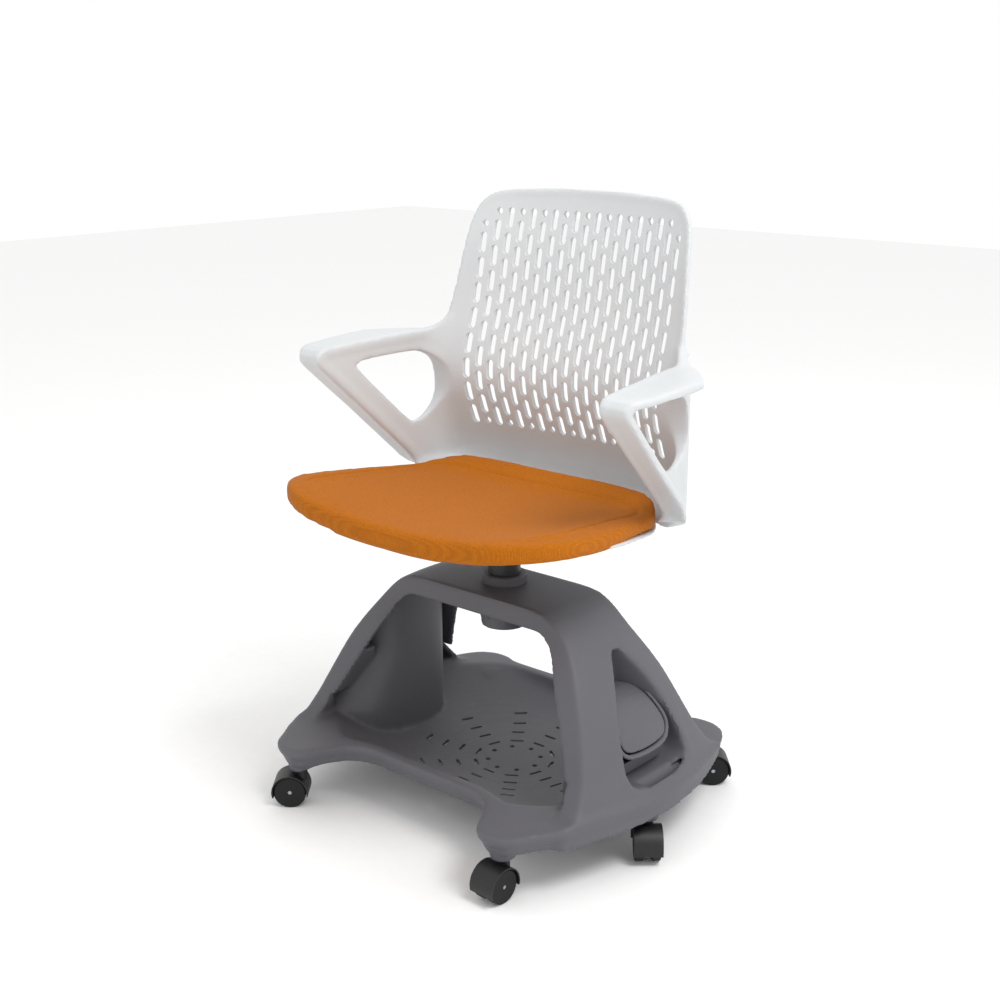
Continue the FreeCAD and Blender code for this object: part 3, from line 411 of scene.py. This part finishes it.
facing = add_node(drain_spokes, "ShaderNodeCombineXYZ", {"Z": angle})
cut_away(drain_spokes, given, add_node(drain_spokes, "GeometryNodeInstanceOnPoints", {
    "Points": points.outputs[0], "Instance": drain_bar.outputs[0], "Rotation": facing.outputs[0]}))

# Grey polypropylene, injection moulded against a spark-eroded tool: matt, with a pebbled grain about half a
# millimetre across, drawn at 1.6 mm so that it shows, and faint pale scuffs where bags slide in the tray.
grey_polypropylene, tree, shader, coords = new_material("grey_polypropylene", {"IOR": 1.49, "Specular IOR Level": 0.42})
grain = add_node(tree, "ShaderNodeTexNoise", {"Vector": coords, "Scale": 1 / 0.0016, "Detail": 2.0})
cloud = add_node(tree, "ShaderNodeTexNoise", {"Vector": coords, "Scale": 1 / 0.12, "Detail": 3.0})
drag = add_node(tree, "ShaderNodeMapping", {"Vector": coords, "Scale": (1.0, 0.12, 1.0)})
scuff = add_node(tree, "ShaderNodeTexNoise", {"Vector": drag.outputs[0], "Scale": 1 / 0.005, "Detail": 3.0})
height = add_node(tree, "ShaderNodeSeparateXYZ", {0: coords}).outputs["Z"]
low_down = add_node(tree, "ShaderNodeMapRange", {"Value": height, "From Min": 0.075, "From Max": 0.05})
worn = add_node(tree, "ShaderNodeMapRange", {"Value": scuff.outputs[0], "From Min": 0.62, "From Max": 0.74,
                                             "To Max": 0.22})
mottled = add_node(tree, "ShaderNodeMix", {0: cloud.outputs[0], 6: linear("55555A"), 7: linear("5D5D62")},
                   data_type="RGBA")
scuffed = add_node(tree, "ShaderNodeMix", {0: sum_of(tree, "MULTIPLY", worn.outputs[0], low_down.outputs[0]),
                                           6: mottled.outputs[2], 7: linear("7C7C80")}, data_type="RGBA")
sheen = add_node(tree, "ShaderNodeMapRange", {"Value": grain.outputs[0], "To Min": 0.48, "To Max": 0.66})
relief = add_node(tree, "ShaderNodeBump", {"Strength": 0.35, "Distance": 0.0004, "Height": grain.outputs[0]})
feed(tree, shader, color=scuffed.outputs[2], roughness=sheen.outputs[0], normal=relief.outputs[0])

cut_with(base_moulding, drain_spokes, Spokes=8, Steps=1, Start=DRAIN_RING * MM, Step=0.0, Length=DRAIN_HOLE * MM,
         Width=DRAIN_HOLE * MM, Turn=0.0, Finish=grey_polypropylene)
cut_with(base_moulding, drain_spokes, Spokes=10, Steps=4, Start=DRAIN_START * MM, Step=DRAIN_STEP * MM,
         Length=DRAIN_LENGTH * MM, Width=DRAIN_WIDTH * MM, Turn=-math.pi / 2, Finish=grey_polypropylene)
sharpened(base_moulding, 38)
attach(base_moulding, "base")
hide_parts("base_tray", "base_arch", "bin_pocket_left", "bin_pocket_right", "column_socket")


# ---- Back and arm shell ------------------------------------------------------------------------
# One large injection moulding in white polypropylene: a perforated back, two open arm frames of
# angle section and a tongue that runs in under the seat. It screws to the seat pan from below.

SHELL_STEP = 3.25
# thicker than the real back, which is probably about 4 mm
BACK_THICK = 7.4
# The back in section on the middle line, from the top edge down and forward under the seat
SPINE = soft([(207, 924), (206.5, 917), (198.5, 878), (187, 830), (171, 744), (153, 680), (145, 640), (148, 605),
              (159, 572), (171, 542), (181, 516), (185.5, 494), (184, 474), (174, 461), (158, 455), (128, 452.5),
              (86, 446)], closed=False, steps=3)
BACK_PLAN = soft([(0, 918.5), (60, 918), (120, 915.5), (160, 912), (180, 906), (194, 895), (203, 879), (209, 856),
                  (215, 812), (220, 768), (225, 728), (229, 690), (231, 640), (233, 560), (234, 500)],
                 closed=False, steps=3) + [(234, 400), (-40, 400), (-40, 918.5)]
# Outer boundary of the arm's side view, and the opening in it
ARM_SIDE = [(170, 694), (60, 694), (0, 692), (-60, 689), (-104, 686.5), (-117, 683), (-124, 675), (-123, 665),
            (-116, 656), (-60, 603), (0, 546), (46, 502), (62, 484), (74, 474), (96, 466), (118, 462), (150, 458),
            (190, 456), (190, 694)]
ARM_HOLE = soft([(-46, 648), (-45, 655), (-36, 659), (0, 661), (60, 662), (88, 655), (106, 638), (112, 612),
                 (111, 588), (100, 568), (80, 553), (64, 549), (50, 555), (0, 602)])
RAIL_THICK = 13
WEB_THICK = 10

shell_low = (-328, -130, 436)
x, y, z = lattice(shell_low, (328, 224, 922), SHELL_STEP)
side = np.abs(x)


def hollowing(across):
    """How far the back comes forward at a distance from the middle line."""
    return across ** 2 / 1800 + 0.00077 * np.maximum(0, across - 120) ** 2


lift = 15 * (side / 236) ** 2 * np.clip((505 - z) / 45, 0, 1)
back_line = line_depth(SPINE, y + hollowing(side), z - lift)
back_plan = outline_depth(BACK_PLAN, side, z)
# a thicker border runs round the edge of the back
border = np.clip(1 - (-back_plan) / 14, 0, 1) * 1.6
back = common(np.abs(back_line) - BACK_THICK / 2 - border, back_plan, 4)

inner_face = 243.5 + (60 - y) * 0.118
arm_side = outline_depth(ARM_SIDE, y, z)
arm_hole = outline_depth(ARM_HOLE, y, z)
# how far out the shell reaches: the rail on top is wider than the strut, and both wrap round into the back
reach_rail = np.interp(y, [-124, -112, -89, -2, 30, 50, 70, 94, 106, 117, 128, 160],
                       [308, 316, 324, 327, 325, 310, 294, 271, 256, 243, 231, 225]).astype(np.float32)
reach_strut = np.interp(y, [-124, -110, -32, 46, 70, 90, 110, 125, 140, 160, 200],
                        [311, 311, 298, 289, 279, 265, 253, 242, 229, 205, 190]).astype(np.float32)
share = np.clip((z - 664) / 14, 0, 1)
reach = reach_strut + (reach_rail - reach_strut) * share + 250 * np.clip((z - 700) / 60, 0, 1)
# the rail, front corner and strut are one bent flange; a web stands on its inner side
flange = common(arm_side, -arm_side - RAIL_THICK, 5)
flange = common(flange, inner_face - side, 6)
web = common(arm_side, np.maximum(inner_face - side, side - inner_face - WEB_THICK), 4)
rear_limit = np.maximum(y - 134, z - 760)
arm = joined(np.maximum(flange, rear_limit), np.maximum(web, rear_limit), 5)
shell = joined(back, arm, 30)
shell = carved(shell, np.maximum(arm_hole, 213 - side), 4)
shell = common(shell, side - reach, 5)
# the tongue stops under the seat
shell = np.maximum(shell, 84 - y - np.maximum(0, z - 468) * 10)
back_shell = grown("back_shell_moulding", shell, shell_low, SHELL_STEP)
even(back_shell, 0.5, 2)


# Perforation: rows of slots with round ends, cut square through the back
slot_rows, given = cutting_tree("slot_rows", {"Columns": "Int", "Rows": "Int", "Across": "Float", "Fall": "Float",
                                              "Top": "Float", "Length": "Float", "Width": "Float"})
total = sum_of(slot_rows, "MULTIPLY", given["Columns"], given["Rows"])
number = add_node(slot_rows, "GeometryNodeInputIndex").outputs[0]
column = sum_of(slot_rows, "FLOORED_MODULO", number, given["Columns"])
row = sum_of(slot_rows, "FLOOR", sum_of(slot_rows, "DIVIDE", sum_of(slot_rows, "ADD", number, 0.01), given["Columns"]))
middle = sum_of(slot_rows, "MULTIPLY", sum_of(slot_rows, "SUBTRACT", given["Columns"], 1.0), 0.5)
place_x = sum_of(slot_rows, "MULTIPLY", sum_of(slot_rows, "SUBTRACT", column, middle), given["Across"])
place_z = sum_of(slot_rows, "SUBTRACT", given["Top"], sum_of(slot_rows, "MULTIPLY", row, given["Fall"]))
place = add_node(slot_rows, "ShaderNodeCombineXYZ", {"X": place_x, "Y": 150 * MM, "Z": place_z}).outputs[0]
points = add_node(slot_rows, "GeometryNodePoints", {"Count": total, "Position": place})
radius = sum_of(slot_rows, "MULTIPLY", given["Width"], 0.5)
round_bar = add_node(slot_rows, "GeometryNodeMeshCylinder", {"Vertices": 16, "Radius": radius, "Depth": 190 * MM})
laid = add_node(slot_rows, "GeometryNodeTransform",
                {"Geometry": round_bar.outputs["Mesh"], "Rotation": (math.pi / 2, math.pi / 16, 0)})
spot = add_node(slot_rows, "ShaderNodeSeparateXYZ", {0: add_node(slot_rows, "GeometryNodeInputPosition").outputs[0]})
upper = sum_of(slot_rows, "SIGN", spot.outputs["Z"])
half_run = sum_of(slot_rows, "MULTIPLY", sum_of(slot_rows, "SUBTRACT", given["Length"], given["Width"]), 0.5)
stretch = add_node(slot_rows, "ShaderNodeCombineXYZ", {"Z": sum_of(slot_rows, "MULTIPLY", upper, half_run)})
slot_bar = add_node(slot_rows, "GeometryNodeSetPosition", {"Geometry": laid.outputs[0], "Offset": stretch.outputs[0]})
cut_away(slot_rows, given, add_node(slot_rows, "GeometryNodeInstanceOnPoints",
                                    {"Points": points.outputs[0], "Instance": slot_bar.outputs[0]}))

# White polypropylene with a fine satin grain, drawn at 1.4 mm so that it shows: soft, wide highlights and a
# very faint warm and cool mottle.
white_polypropylene, tree, shader, coords = new_material("white_polypropylene", {
    "IOR": 1.49, "Subsurface Weight": 0.06, "Subsurface Radius": (0.006, 0.005, 0.004), "Specular IOR Level": 0.45})
grain = add_node(tree, "ShaderNodeTexNoise", {"Vector": coords, "Scale": 1 / 0.0014, "Detail": 2.0})
cloud = add_node(tree, "ShaderNodeTexNoise", {"Vector": coords, "Scale": 1 / 0.16, "Detail": 2.0})
mottled = add_node(tree, "ShaderNodeMix", {0: cloud.outputs[0], 6: linear("C4C7CA"), 7: linear("CDCFCF")},
                   data_type="RGBA")
sheen = add_node(tree, "ShaderNodeMapRange", {"Value": grain.outputs[0], "To Min": 0.36, "To Max": 0.5})
relief = add_node(tree, "ShaderNodeBump", {"Strength": 0.18, "Distance": 0.0003, "Height": grain.outputs[0]})
feed(tree, shader, color=mottled.outputs[2], roughness=sheen.outputs[0], normal=relief.outputs[0])

COLUMN_PITCH = 40.6
FIRST_ROW = 879.5
ROW_PITCH = 39.2
ROW_LEAD = 29.2
# wider than the real slots of about 31 x 9.5 mm, so that as much shows through this thicker wall
SLOT_LENGTH, SLOT_WIDTH, HOLE = 33, 12.6, 11.4
OUTER_COLUMNS = 366.6
for columns, rows, across, top, length in (
        (9, 8, COLUMN_PITCH, FIRST_ROW - ROW_LEAD, SLOT_LENGTH),
        (9, 2, COLUMN_PITCH, FIRST_ROW, HOLE),
        (8, 9, COLUMN_PITCH, FIRST_ROW - ROW_LEAD + ROW_PITCH / 2, SLOT_LENGTH),
        (2, 8, OUTER_COLUMNS, FIRST_ROW - ROW_LEAD - ROW_PITCH / 2, SLOT_LENGTH),
        (2, 1, OUTER_COLUMNS, FIRST_ROW - ROW_PITCH / 2, HOLE)):
    fall = ROW_PITCH if length > HOLE else 2 * ROW_LEAD + 7 * ROW_PITCH
    cut_with(back_shell, slot_rows, Columns=columns, Rows=rows, Across=across * MM, Fall=fall * MM, Top=top * MM,
             Length=length * MM, Width=(SLOT_WIDTH if length > HOLE else HOLE) * MM, Finish=white_polypropylene)
sharpened(back_shell, 38)
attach(back_shell, "seat")
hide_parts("back_shell")


# ---- Seat cushion ------------------------------------------------------------------------------
# Moulded foam on the seat pan under a tight woven cover, dipped like a saddle, with a crisp welted edge and
# a sewn crease inside the upturned sides and back. The cover is stapled to the pan underneath.

PAD_STEP = 5.0
PAN_STEP = 2.8
PAN_THICK = 5.5
# across the seat: distance from the front, half width of the pan, height at the middle and rise to the edge
STATIONS = np.array([(-262, 100, 463, 3), (-259, 120, 463, 4), (-249, 176, 462, 15), (-234, 213, 461, 22),
                     (-212, 240, 460, 26), (-175, 259, 458, 28), (-126, 262, 456, 25), (-51, 255, 452, 20),
                     (20, 243, 448, 15), (60, 232, 447, 12), (90, 212, 450, 10), (112, 175, 456, 8),
                     (134, 130, 463, 5)], dtype=float)
PAD_PLAN = soft(mirrored([(0, -263), (65, -262), (125, -257), (177, -252), (219, -237), (245, -216), (259, -193),
                          (266, -161), (266, -126), (259, -51), (248, 0), (237, 51), (222, 82), (201, 104),
                          (170, 117), (120, 124), (60, 128), (0, 129)]))
CREASE_DEEP, CREASE_WIDE, CREASE_RAISED = 2.4, 3.2, 0.9
CREASE = soft([(-214, -206), (-224, -181), (-224, -145), (-221, -81), (-215, -26), (-214, 34), (-194, 64), (-130, 78),
               (0, 81), (130, 78), (194, 64), (214, 34), (215, -26), (221, -81), (224, -145), (224, -181),
               (214, -206)], closed=False)


def pan_height(across, along):
    """Height of the seat pan's top under a point of the cushion."""
    half, middle, rise = (np.interp(along, STATIONS[:, 0], STATIONS[:, column]) for column in (1, 2, 3))
    return middle + rise * np.minimum(1.1, (np.abs(across) / np.maximum(half, 150)) ** 2)


def tuck_at(along):
    """How far the cover runs down past the pan's edge, growing towards the front."""
    return 7 * np.clip((20 - along) / 120, 0, 1)


pad_low = (-280, -276, 436)
# the white pan under the foam, out of sight at the front and a thin line along the sides
x, y, z = lattice(pad_low, (280, 148, 506), PAN_STEP)
pan = pan_height(x, y).astype(np.float32)
pan_plan = outline_depth(PAD_PLAN, np.abs(x), y) + 2 + 8 * np.clip((-y - 60) / 60, 0, 1)
pan_slab = np.abs(z - pan + PAN_THICK / 2) - PAN_THICK / 2
pan_skin = grown("seat_pan_skin", common(pan_plan, pan_slab, 2), pad_low, PAN_STEP)
even(pan_skin, 0.5, 2)
pan_skin.data.materials.append(white_polypropylene)
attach(pan_skin, "seat")
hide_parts("seat_pan")

x, y, z = lattice(pad_low, (280, 148, 530), PAD_STEP)
side = np.abs(x)
pan = pan_height(x, y).astype(np.float32)
pad_plan = outline_depth(PAD_PLAN, side, y)
turned_up = 9 * np.clip((y - 40) / 60, 0, 1) * np.clip(1 + (pad_plan + 20) / 60, 0, 1)
thick = 28 - 6 * np.clip(side / 250, 0, 1) ** 2 + turned_up
pad = common(pad_plan + 2, z - pan - thick, 8)
pad = common(pad, pan + 1 - tuck_at(y) - z, 4)
seat_pad = grown("seat_pad", pad, pad_low, PAD_STEP)
even(seat_pad, 0.5, 3)
flat_spots = np.array([vertex.co[:] for vertex in seat_pad.data.vertices])
stuffing = seat_pad.modifiers.new("stuffing", "CLOTH")
stuffing.settings.use_pressure = True
stuffing.settings.uniform_pressure_force = 4.0
stuffing.settings.quality = 5
stuffing.settings.effector_weights.gravity = 0.0
for frame_number in range(1, 21):
    bpy.context.scene.frame_set(frame_number)
    bpy.context.view_layer.update()
settle(seat_pad)
bpy.context.scene.frame_set(1)
# the furthest the pressure may push any point
SWELL_LIMIT = 2.6 * MM
full_spots = np.array([vertex.co[:] for vertex in seat_pad.data.vertices])
moved = full_spots - flat_spots
far = np.linalg.norm(moved, axis=1, keepdims=True)
full_spots = flat_spots + moved * np.minimum(1, SWELL_LIMIT / np.maximum(far, 1e-9))
# the underside stays flat on the pan
tucked = tuck_at(full_spots[:, 1] / MM)
pan_line = (pan_height(full_spots[:, 0] / MM, full_spots[:, 1] / MM) + 0.6 - tucked) * MM
full_spots[:, 2] = np.maximum(full_spots[:, 2], pan_line)
seat_pad.data.vertices.foreach_set("co", full_spots.ravel())
finer = seat_pad.modifiers.new("finer", "SUBSURF")
finer.levels = finer.render_levels = 1
settle(seat_pad)
spots = np.array([vertex.co[:] for vertex in seat_pad.data.vertices])
normals = np.array([vertex.normal[:] for vertex in seat_pad.data.vertices])
gap = line_depth(CREASE, spots[:, 0] / MM, spots[:, 1] / MM)
fade = np.clip((spots[:, 1] / MM + 212) / 26, 0, 1) * np.clip((normals[:, 2] - 0.4) / 0.3, 0, 1)
sunk = CREASE_DEEP * np.exp(-(gap / CREASE_WIDE) ** 2) - CREASE_RAISED * np.exp(-((gap - 8) / 6) ** 2)
spots[:, 2] -= sunk * fade * MM
seat_pad.data.vertices.foreach_set("co", spots.ravel())
for face in seat_pad.data.polygons:
    face.use_smooth = True

# Orange polyester crepe, woven at about 1.2 mm a thread pair and drawn at 1.8 mm so that the weave shows:
# a dry, matt cloth with a painted highlight on the thread crowns and painted shade in the gaps between them, faint
# slubs and a soft bloom at grazing angles.
orange_crepe, tree, shader, coords = new_material("orange_crepe", {
    "Roughness": 0.88, "Sheen Weight": 0.04, "Sheen Roughness": 0.5, "Specular IOR Level": 0.15})
wobble = add_node(tree, "ShaderNodeTexNoise", {"Vector": coords, "Scale": 1 / 0.006, "Detail": 2.0})
wobbled = add_node(tree, "ShaderNodeVectorMath", {0: wobble.outputs["Color"], 1: (0.0008, 0.0008, 0.0008), 2: coords},
                   operation="MULTIPLY_ADD")
THREAD_PAIR = 0.0018
per_band = 2 * math.pi / (20 * THREAD_PAIR)
warp = add_node(tree, "ShaderNodeTexWave", {"Vector": wobbled.outputs[0], "Scale": per_band}, bands_direction="X")
weft = add_node(tree, "ShaderNodeTexWave", {"Vector": wobbled.outputs[0], "Scale": per_band}, bands_direction="Y")
crown = sum_of(tree, "MULTIPLY", warp.outputs["Fac"], weft.outputs["Fac"])
slub = add_node(tree, "ShaderNodeTexNoise", {"Vector": coords, "Scale": 1 / 0.003, "Detail": 3.0})
cloud = add_node(tree, "ShaderNodeTexNoise", {"Vector": coords, "Scale": 1 / 0.07, "Detail": 2.0})
# painted light: the thread crowns are painted lighter as a highlight and the gaps between them darker as shade
crown_highlit_thread = add_node(tree, "ShaderNodeMix", {0: crown, 6: linear("A65C08"), 7: linear("BA6C0E")}, data_type="RGBA")
uneven = add_node(tree, "ShaderNodeMapRange", {"Value": slub.outputs[0], "From Min": 0.3, "From Max": 0.7,
                                               "To Min": 0.86, "To Max": 1.08})
slubbed_highlit_thread = add_node(tree, "ShaderNodeVectorMath", {0: crown_highlit_thread.outputs[2], 1: uneven.outputs[0]}, operation="MULTIPLY")
faded_highlit_cloth = add_node(tree, "ShaderNodeMix", {0: sum_of(tree, "MULTIPLY", cloud.outputs[0], 0.12), 6: slubbed_highlit_thread.outputs[0],
                                         7: linear("C07416")}, data_type="RGBA")
weave_height = sum_of(tree, "ADD", crown, sum_of(tree, "MULTIPLY", slub.outputs[0], 0.7))
relief = add_node(tree, "ShaderNodeBump", {"Strength": 0.3, "Distance": 0.0004, "Height": weave_height})
feed(tree, shader, color=faded_highlit_cloth.outputs[2], normal=relief.outputs[0])
seat_pad.data.materials.append(orange_crepe)
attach(seat_pad, "seat")
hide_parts("seat_cushion")


# ---- Column, spring and tilt plate ---------------------------------------------------------------
# A steel column pressed into the bridge's socket, a gas spring whose polished rod stands on a thrust
# bearing, and a pressed and welded steel plate and housing under the pan, all powder coated black.

# Black powder coat: a low orange-peel skin about 2 mm across, with a soft highlight.
black_powder_coat, tree, shader, coords = new_material("black_powder_coat", {"IOR": 1.5, "Coat Weight": 0.08})
peel = add_node(tree, "ShaderNodeTexNoise", {"Vector": coords, "Scale": 1 / 0.0022, "Detail": 2.0})
tone = add_node(tree, "ShaderNodeMix", {0: peel.outputs[0], 6: linear("141416"), 7: linear("222326")},
                data_type="RGBA")
sheen = add_node(tree, "ShaderNodeMapRange", {"Value": peel.outputs[0], "To Min": 0.34, "To Max": 0.56})
relief = add_node(tree, "ShaderNodeBump", {"Strength": 0.5, "Distance": 0.0005, "Height": peel.outputs[0]})
feed(tree, shader, color=tone.outputs[2], roughness=sheen.outputs[0], normal=relief.outputs[0])
refinish(black_powder_coat, "column_tube", "gas_cylinder", "mechanism_plate", "mechanism_housing", "lever_bracket")
refinish(grey_polypropylene, "column_collar")

# Ground and hard-chromed steel: bright, with the faintest rings from grinding. They are finer than this on real
# rods and are drawn half a millimetre apart so that they can show.
ground_chrome, tree, shader, coords = new_material("ground_chrome", {"Metallic": 1.0, "Base Color": linear("C9CBCD")})
rings = add_node(tree, "ShaderNodeTexWave", {"Vector": coords, "Scale": 2 * math.pi / (20 * 0.0005),
                                             "Distortion": 1.0}, bands_direction="Z")
sheen = add_node(tree, "ShaderNodeMapRange", {"Value": rings.outputs["Fac"], "To Min": 0.1, "To Max": 0.2})
feed(tree, shader, roughness=sheen.outputs[0])
refinish(ground_chrome, "piston_rod")

# Zinc-plated steel: grey-blue, slightly cloudy, as screws and pins come out of the barrel.
zinc_plate, tree, shader, coords = new_material("zinc_plate", {"Metallic": 1.0})
cloud = add_node(tree, "ShaderNodeTexNoise", {"Vector": coords, "Scale": 1 / 0.003, "Detail": 3.0})
tone = add_node(tree, "ShaderNodeMix", {0: cloud.outputs[0], 6: linear("9FA3A8"), 7: linear("BFC2C4")},
                data_type="RGBA")
sheen = add_node(tree, "ShaderNodeMapRange", {"Value": cloud.outputs[0], "To Min": 0.26, "To Max": 0.46})
feed(tree, shader, color=tone.outputs[2], roughness=sheen.outputs[0])
refinish(zinc_plate, "thrust_bearing", "lever_pin", "plate_screws", "back_screws", "bin_hinge_pin_left",
         "bin_hinge_pin_right")


# ---- Height lever --------------------------------------------------------------------------------
# A glass-filled nylon paddle on a pin in the housing's bracket. It lifts the spring's valve button.

# Black glass-filled nylon: dull, with a streaky skin where the fibres lie near the surface.
black_nylon, tree, shader, coords = new_material("black_nylon", {"IOR": 1.53, "Specular IOR Level": 0.45})
fibre = add_node(tree, "ShaderNodeMapping", {"Vector": coords, "Scale": (1.0, 1.0, 0.3)})
streak = add_node(tree, "ShaderNodeTexNoise", {"Vector": fibre.outputs[0], "Scale": 1 / 0.0016, "Detail": 3.0})
tone = add_node(tree, "ShaderNodeMix", {0: streak.outputs[0], 6: linear("0B0B0C"), 7: linear("151518")},
                data_type="RGBA")
sheen = add_node(tree, "ShaderNodeMapRange", {"Value": streak.outputs[0], "To Min": 0.36, "To Max": 0.58})
relief = add_node(tree, "ShaderNodeBump", {"Strength": 0.25, "Distance": 0.0003, "Height": streak.outputs[0]})
feed(tree, shader, color=tone.outputs[2], roughness=sheen.outputs[0], normal=relief.outputs[0])
refinish(black_nylon, "height_lever")


# ---- Leg bins ------------------------------------------------------------------------------------
# Each niche holds a small bucket in a collar, with a convex lid hinged on a steel pin along its inner edge.
# All are moulded in the base's grey polypropylene; a shadow gap of under 2 mm runs round the lid.

BIN_STEP = 2.1
LID_LINE = soft([(186, 224), (207, 222.5), (234, 209), (256, 183), (268, 154), (271, 140)], closed=False, steps=3)
LID_FACE = soft([(0, 227), (30, 227), (38, 225), (43, 217), (47, 204), (52, 186), (53.5, 174), (49, 163), (36, 157),
                 (0, 155), (-36, 157), (-49, 163), (-53.5, 174), (-52, 186), (-47, 204), (-43, 217), (-38, 225),
                 (-30, 227)])
LID_THICK, COLLAR_THICK, COLLAR_WIDE, LID_GAP = 4.8, 7.5, 9.0, 2.2
bin_low = (178, -72, 120)
x, y, z = lattice(bin_low, (284, 72, 234), BIN_STEP)
crowned = 5 * (1 - np.clip(np.abs(y) / 56, 0, 1) ** 2)
lid_line = line_depth(LID_LINE, x - crowned, z)
lid_face = outline_depth(LID_FACE, y, z)
lid = common(common(lid_line - LID_THICK / 2, lid_face, 2), 190 - x, 1)
collar = common(lid_line - COLLAR_THICK / 2, lid_face - COLLAR_WIDE, 3)
collar = carved(collar, lid_face - LID_GAP, 1.5)
collar = np.maximum(np.maximum(collar, z - 214), 190 - x)
for hand in ("left", "right"):
    for name, depth, body in (("bin_lid", lid, "lid_" + hand), ("bin_collar", collar, "base")):
        piece = grown(f"{name}_{hand}_skin", depth, bin_low, BIN_STEP)
        even(piece, 0.5, 2)
        if hand == "right":
            for vertex in piece.data.vertices:
                vertex.co.x = -vertex.co.x
            face_outwards(piece)
        piece.data.materials.append(grey_polypropylene)
        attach(piece, body)
        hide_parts(f"{name}_{hand}")
refinish(grey_polypropylene, "bin_cup_left", "bin_cup_right")


# ---- Castors -------------------------------------------------------------------------------------
# Six hooded twin-wheel castors: nylon hoods on plated grip-ring stems, wheels with a soft polyurethane tread.

# Soft black polyurethane: darker and duller than the hood, with dust rubbed into the tread.
soft_polyurethane, tree, shader, coords = new_material("soft_polyurethane", {"IOR": 1.5, "Specular IOR Level": 0.35})
dust = add_node(tree, "ShaderNodeTexNoise", {"Vector": coords, "Scale": 1 / 0.004, "Detail": 4.0})
tone = add_node(tree, "ShaderNodeMix", {0: dust.outputs[0], 6: linear("0C0C0D"), 7: linear("171718")},
                data_type="RGBA")
sheen = add_node(tree, "ShaderNodeMapRange", {"Value": dust.outputs[0], "To Min": 0.55, "To Max": 0.75})
relief = add_node(tree, "ShaderNodeBump", {"Strength": 0.2, "Distance": 0.0004, "Height": dust.outputs[0]})
feed(tree, shader, color=tone.outputs[2], roughness=sheen.outputs[0], normal=relief.outputs[0])
refinish(black_nylon, "castor_sleeves")
for place in ("front_left", "front_right", "side_left", "side_right", "rear_left", "rear_right"):
    refinish(black_nylon, f"castor_{place}_hood")
    refinish(soft_polyurethane, f"castor_{place}_wheel_a", f"castor_{place}_wheel_b")
    refinish(zinc_plate, f"castor_{place}_stem", f"castor_{place}_axle")


# ---- Studio --------------------------------------------------------------------------------------
# White paper on the floor, one large soft light high on the sitter's left and two weaker fills.

sweep = bpy.data.meshes.new("paper_sweep")
sweep.from_pydata([(-8, -8, 0), (8, -8, 0), (8, 8, 0), (-8, 8, 0)], [], [(0, 1, 2, 3)])
floor = bpy.data.objects.new("paper_sweep", sweep)
bpy.context.collection.objects.link(floor)
# White seamless paper: matt, with a trace of fibre.
white_paper, tree, shader, coords = new_material("white_paper", {"Roughness": 0.9, "Specular IOR Level": 0.1})
fibres = add_node(tree, "ShaderNodeTexNoise", {"Vector": coords, "Scale": 1 / 0.02, "Detail": 3.0})
tone = add_node(tree, "ShaderNodeMix", {0: fibres.outputs[0], 6: linear("F4F4F3"), 7: linear("F8F8F8")},
                data_type="RGBA")
feed(tree, shader, color=tone.outputs[2])
sweep.materials.append(white_paper)

sky = bpy.data.worlds.new("studio")
bpy.context.scene.world = sky
sky.use_nodes = True
sky.node_tree.nodes["Background"].inputs["Color"].default_value = (1, 1, 1, 1)
sky.node_tree.nodes["Background"].inputs["Strength"].default_value = 1.0
for name, spot, size, watts, aim in (("key", (1.9, -0.2, 3.0), 1.4, 50, (0, 0, 0.5)),
                                     ("front_fill", (-1.2, -2.8, 1.8), 2.2, 2, (0, 0, 0.45)),
                                     ("back_fill", (-1.6, 2.2, 2.2), 1.8, 3, (0, 0, 0.5))):
    lamp = bpy.data.lights.new(name, "AREA")
    lamp.shape = "DISK"
    lamp.size = size
    lamp.energy = watts
    holder = bpy.data.objects.new(name, lamp)
    bpy.context.collection.objects.link(holder)
    holder.location = spot
    holder.rotation_euler = (Vector(aim) - Vector(spot)).to_track_quat("-Z", "Y").to_euler()

lens = bpy.data.cameras.new("camera")
lens.lens = 52.24
lens.sensor_width = 36
lens.shift_x = -0.0042
camera = bpy.data.objects.new("camera", lens)
bpy.context.collection.objects.link(camera)
camera.location = (1.3572, -1.5881, 1.0750)
camera.rotation_euler = (math.radians(90 - 16.06), 0, math.radians(40.52))
bpy.context.scene.camera = camera
bpy.context.scene.view_settings.view_transform = "Standard"
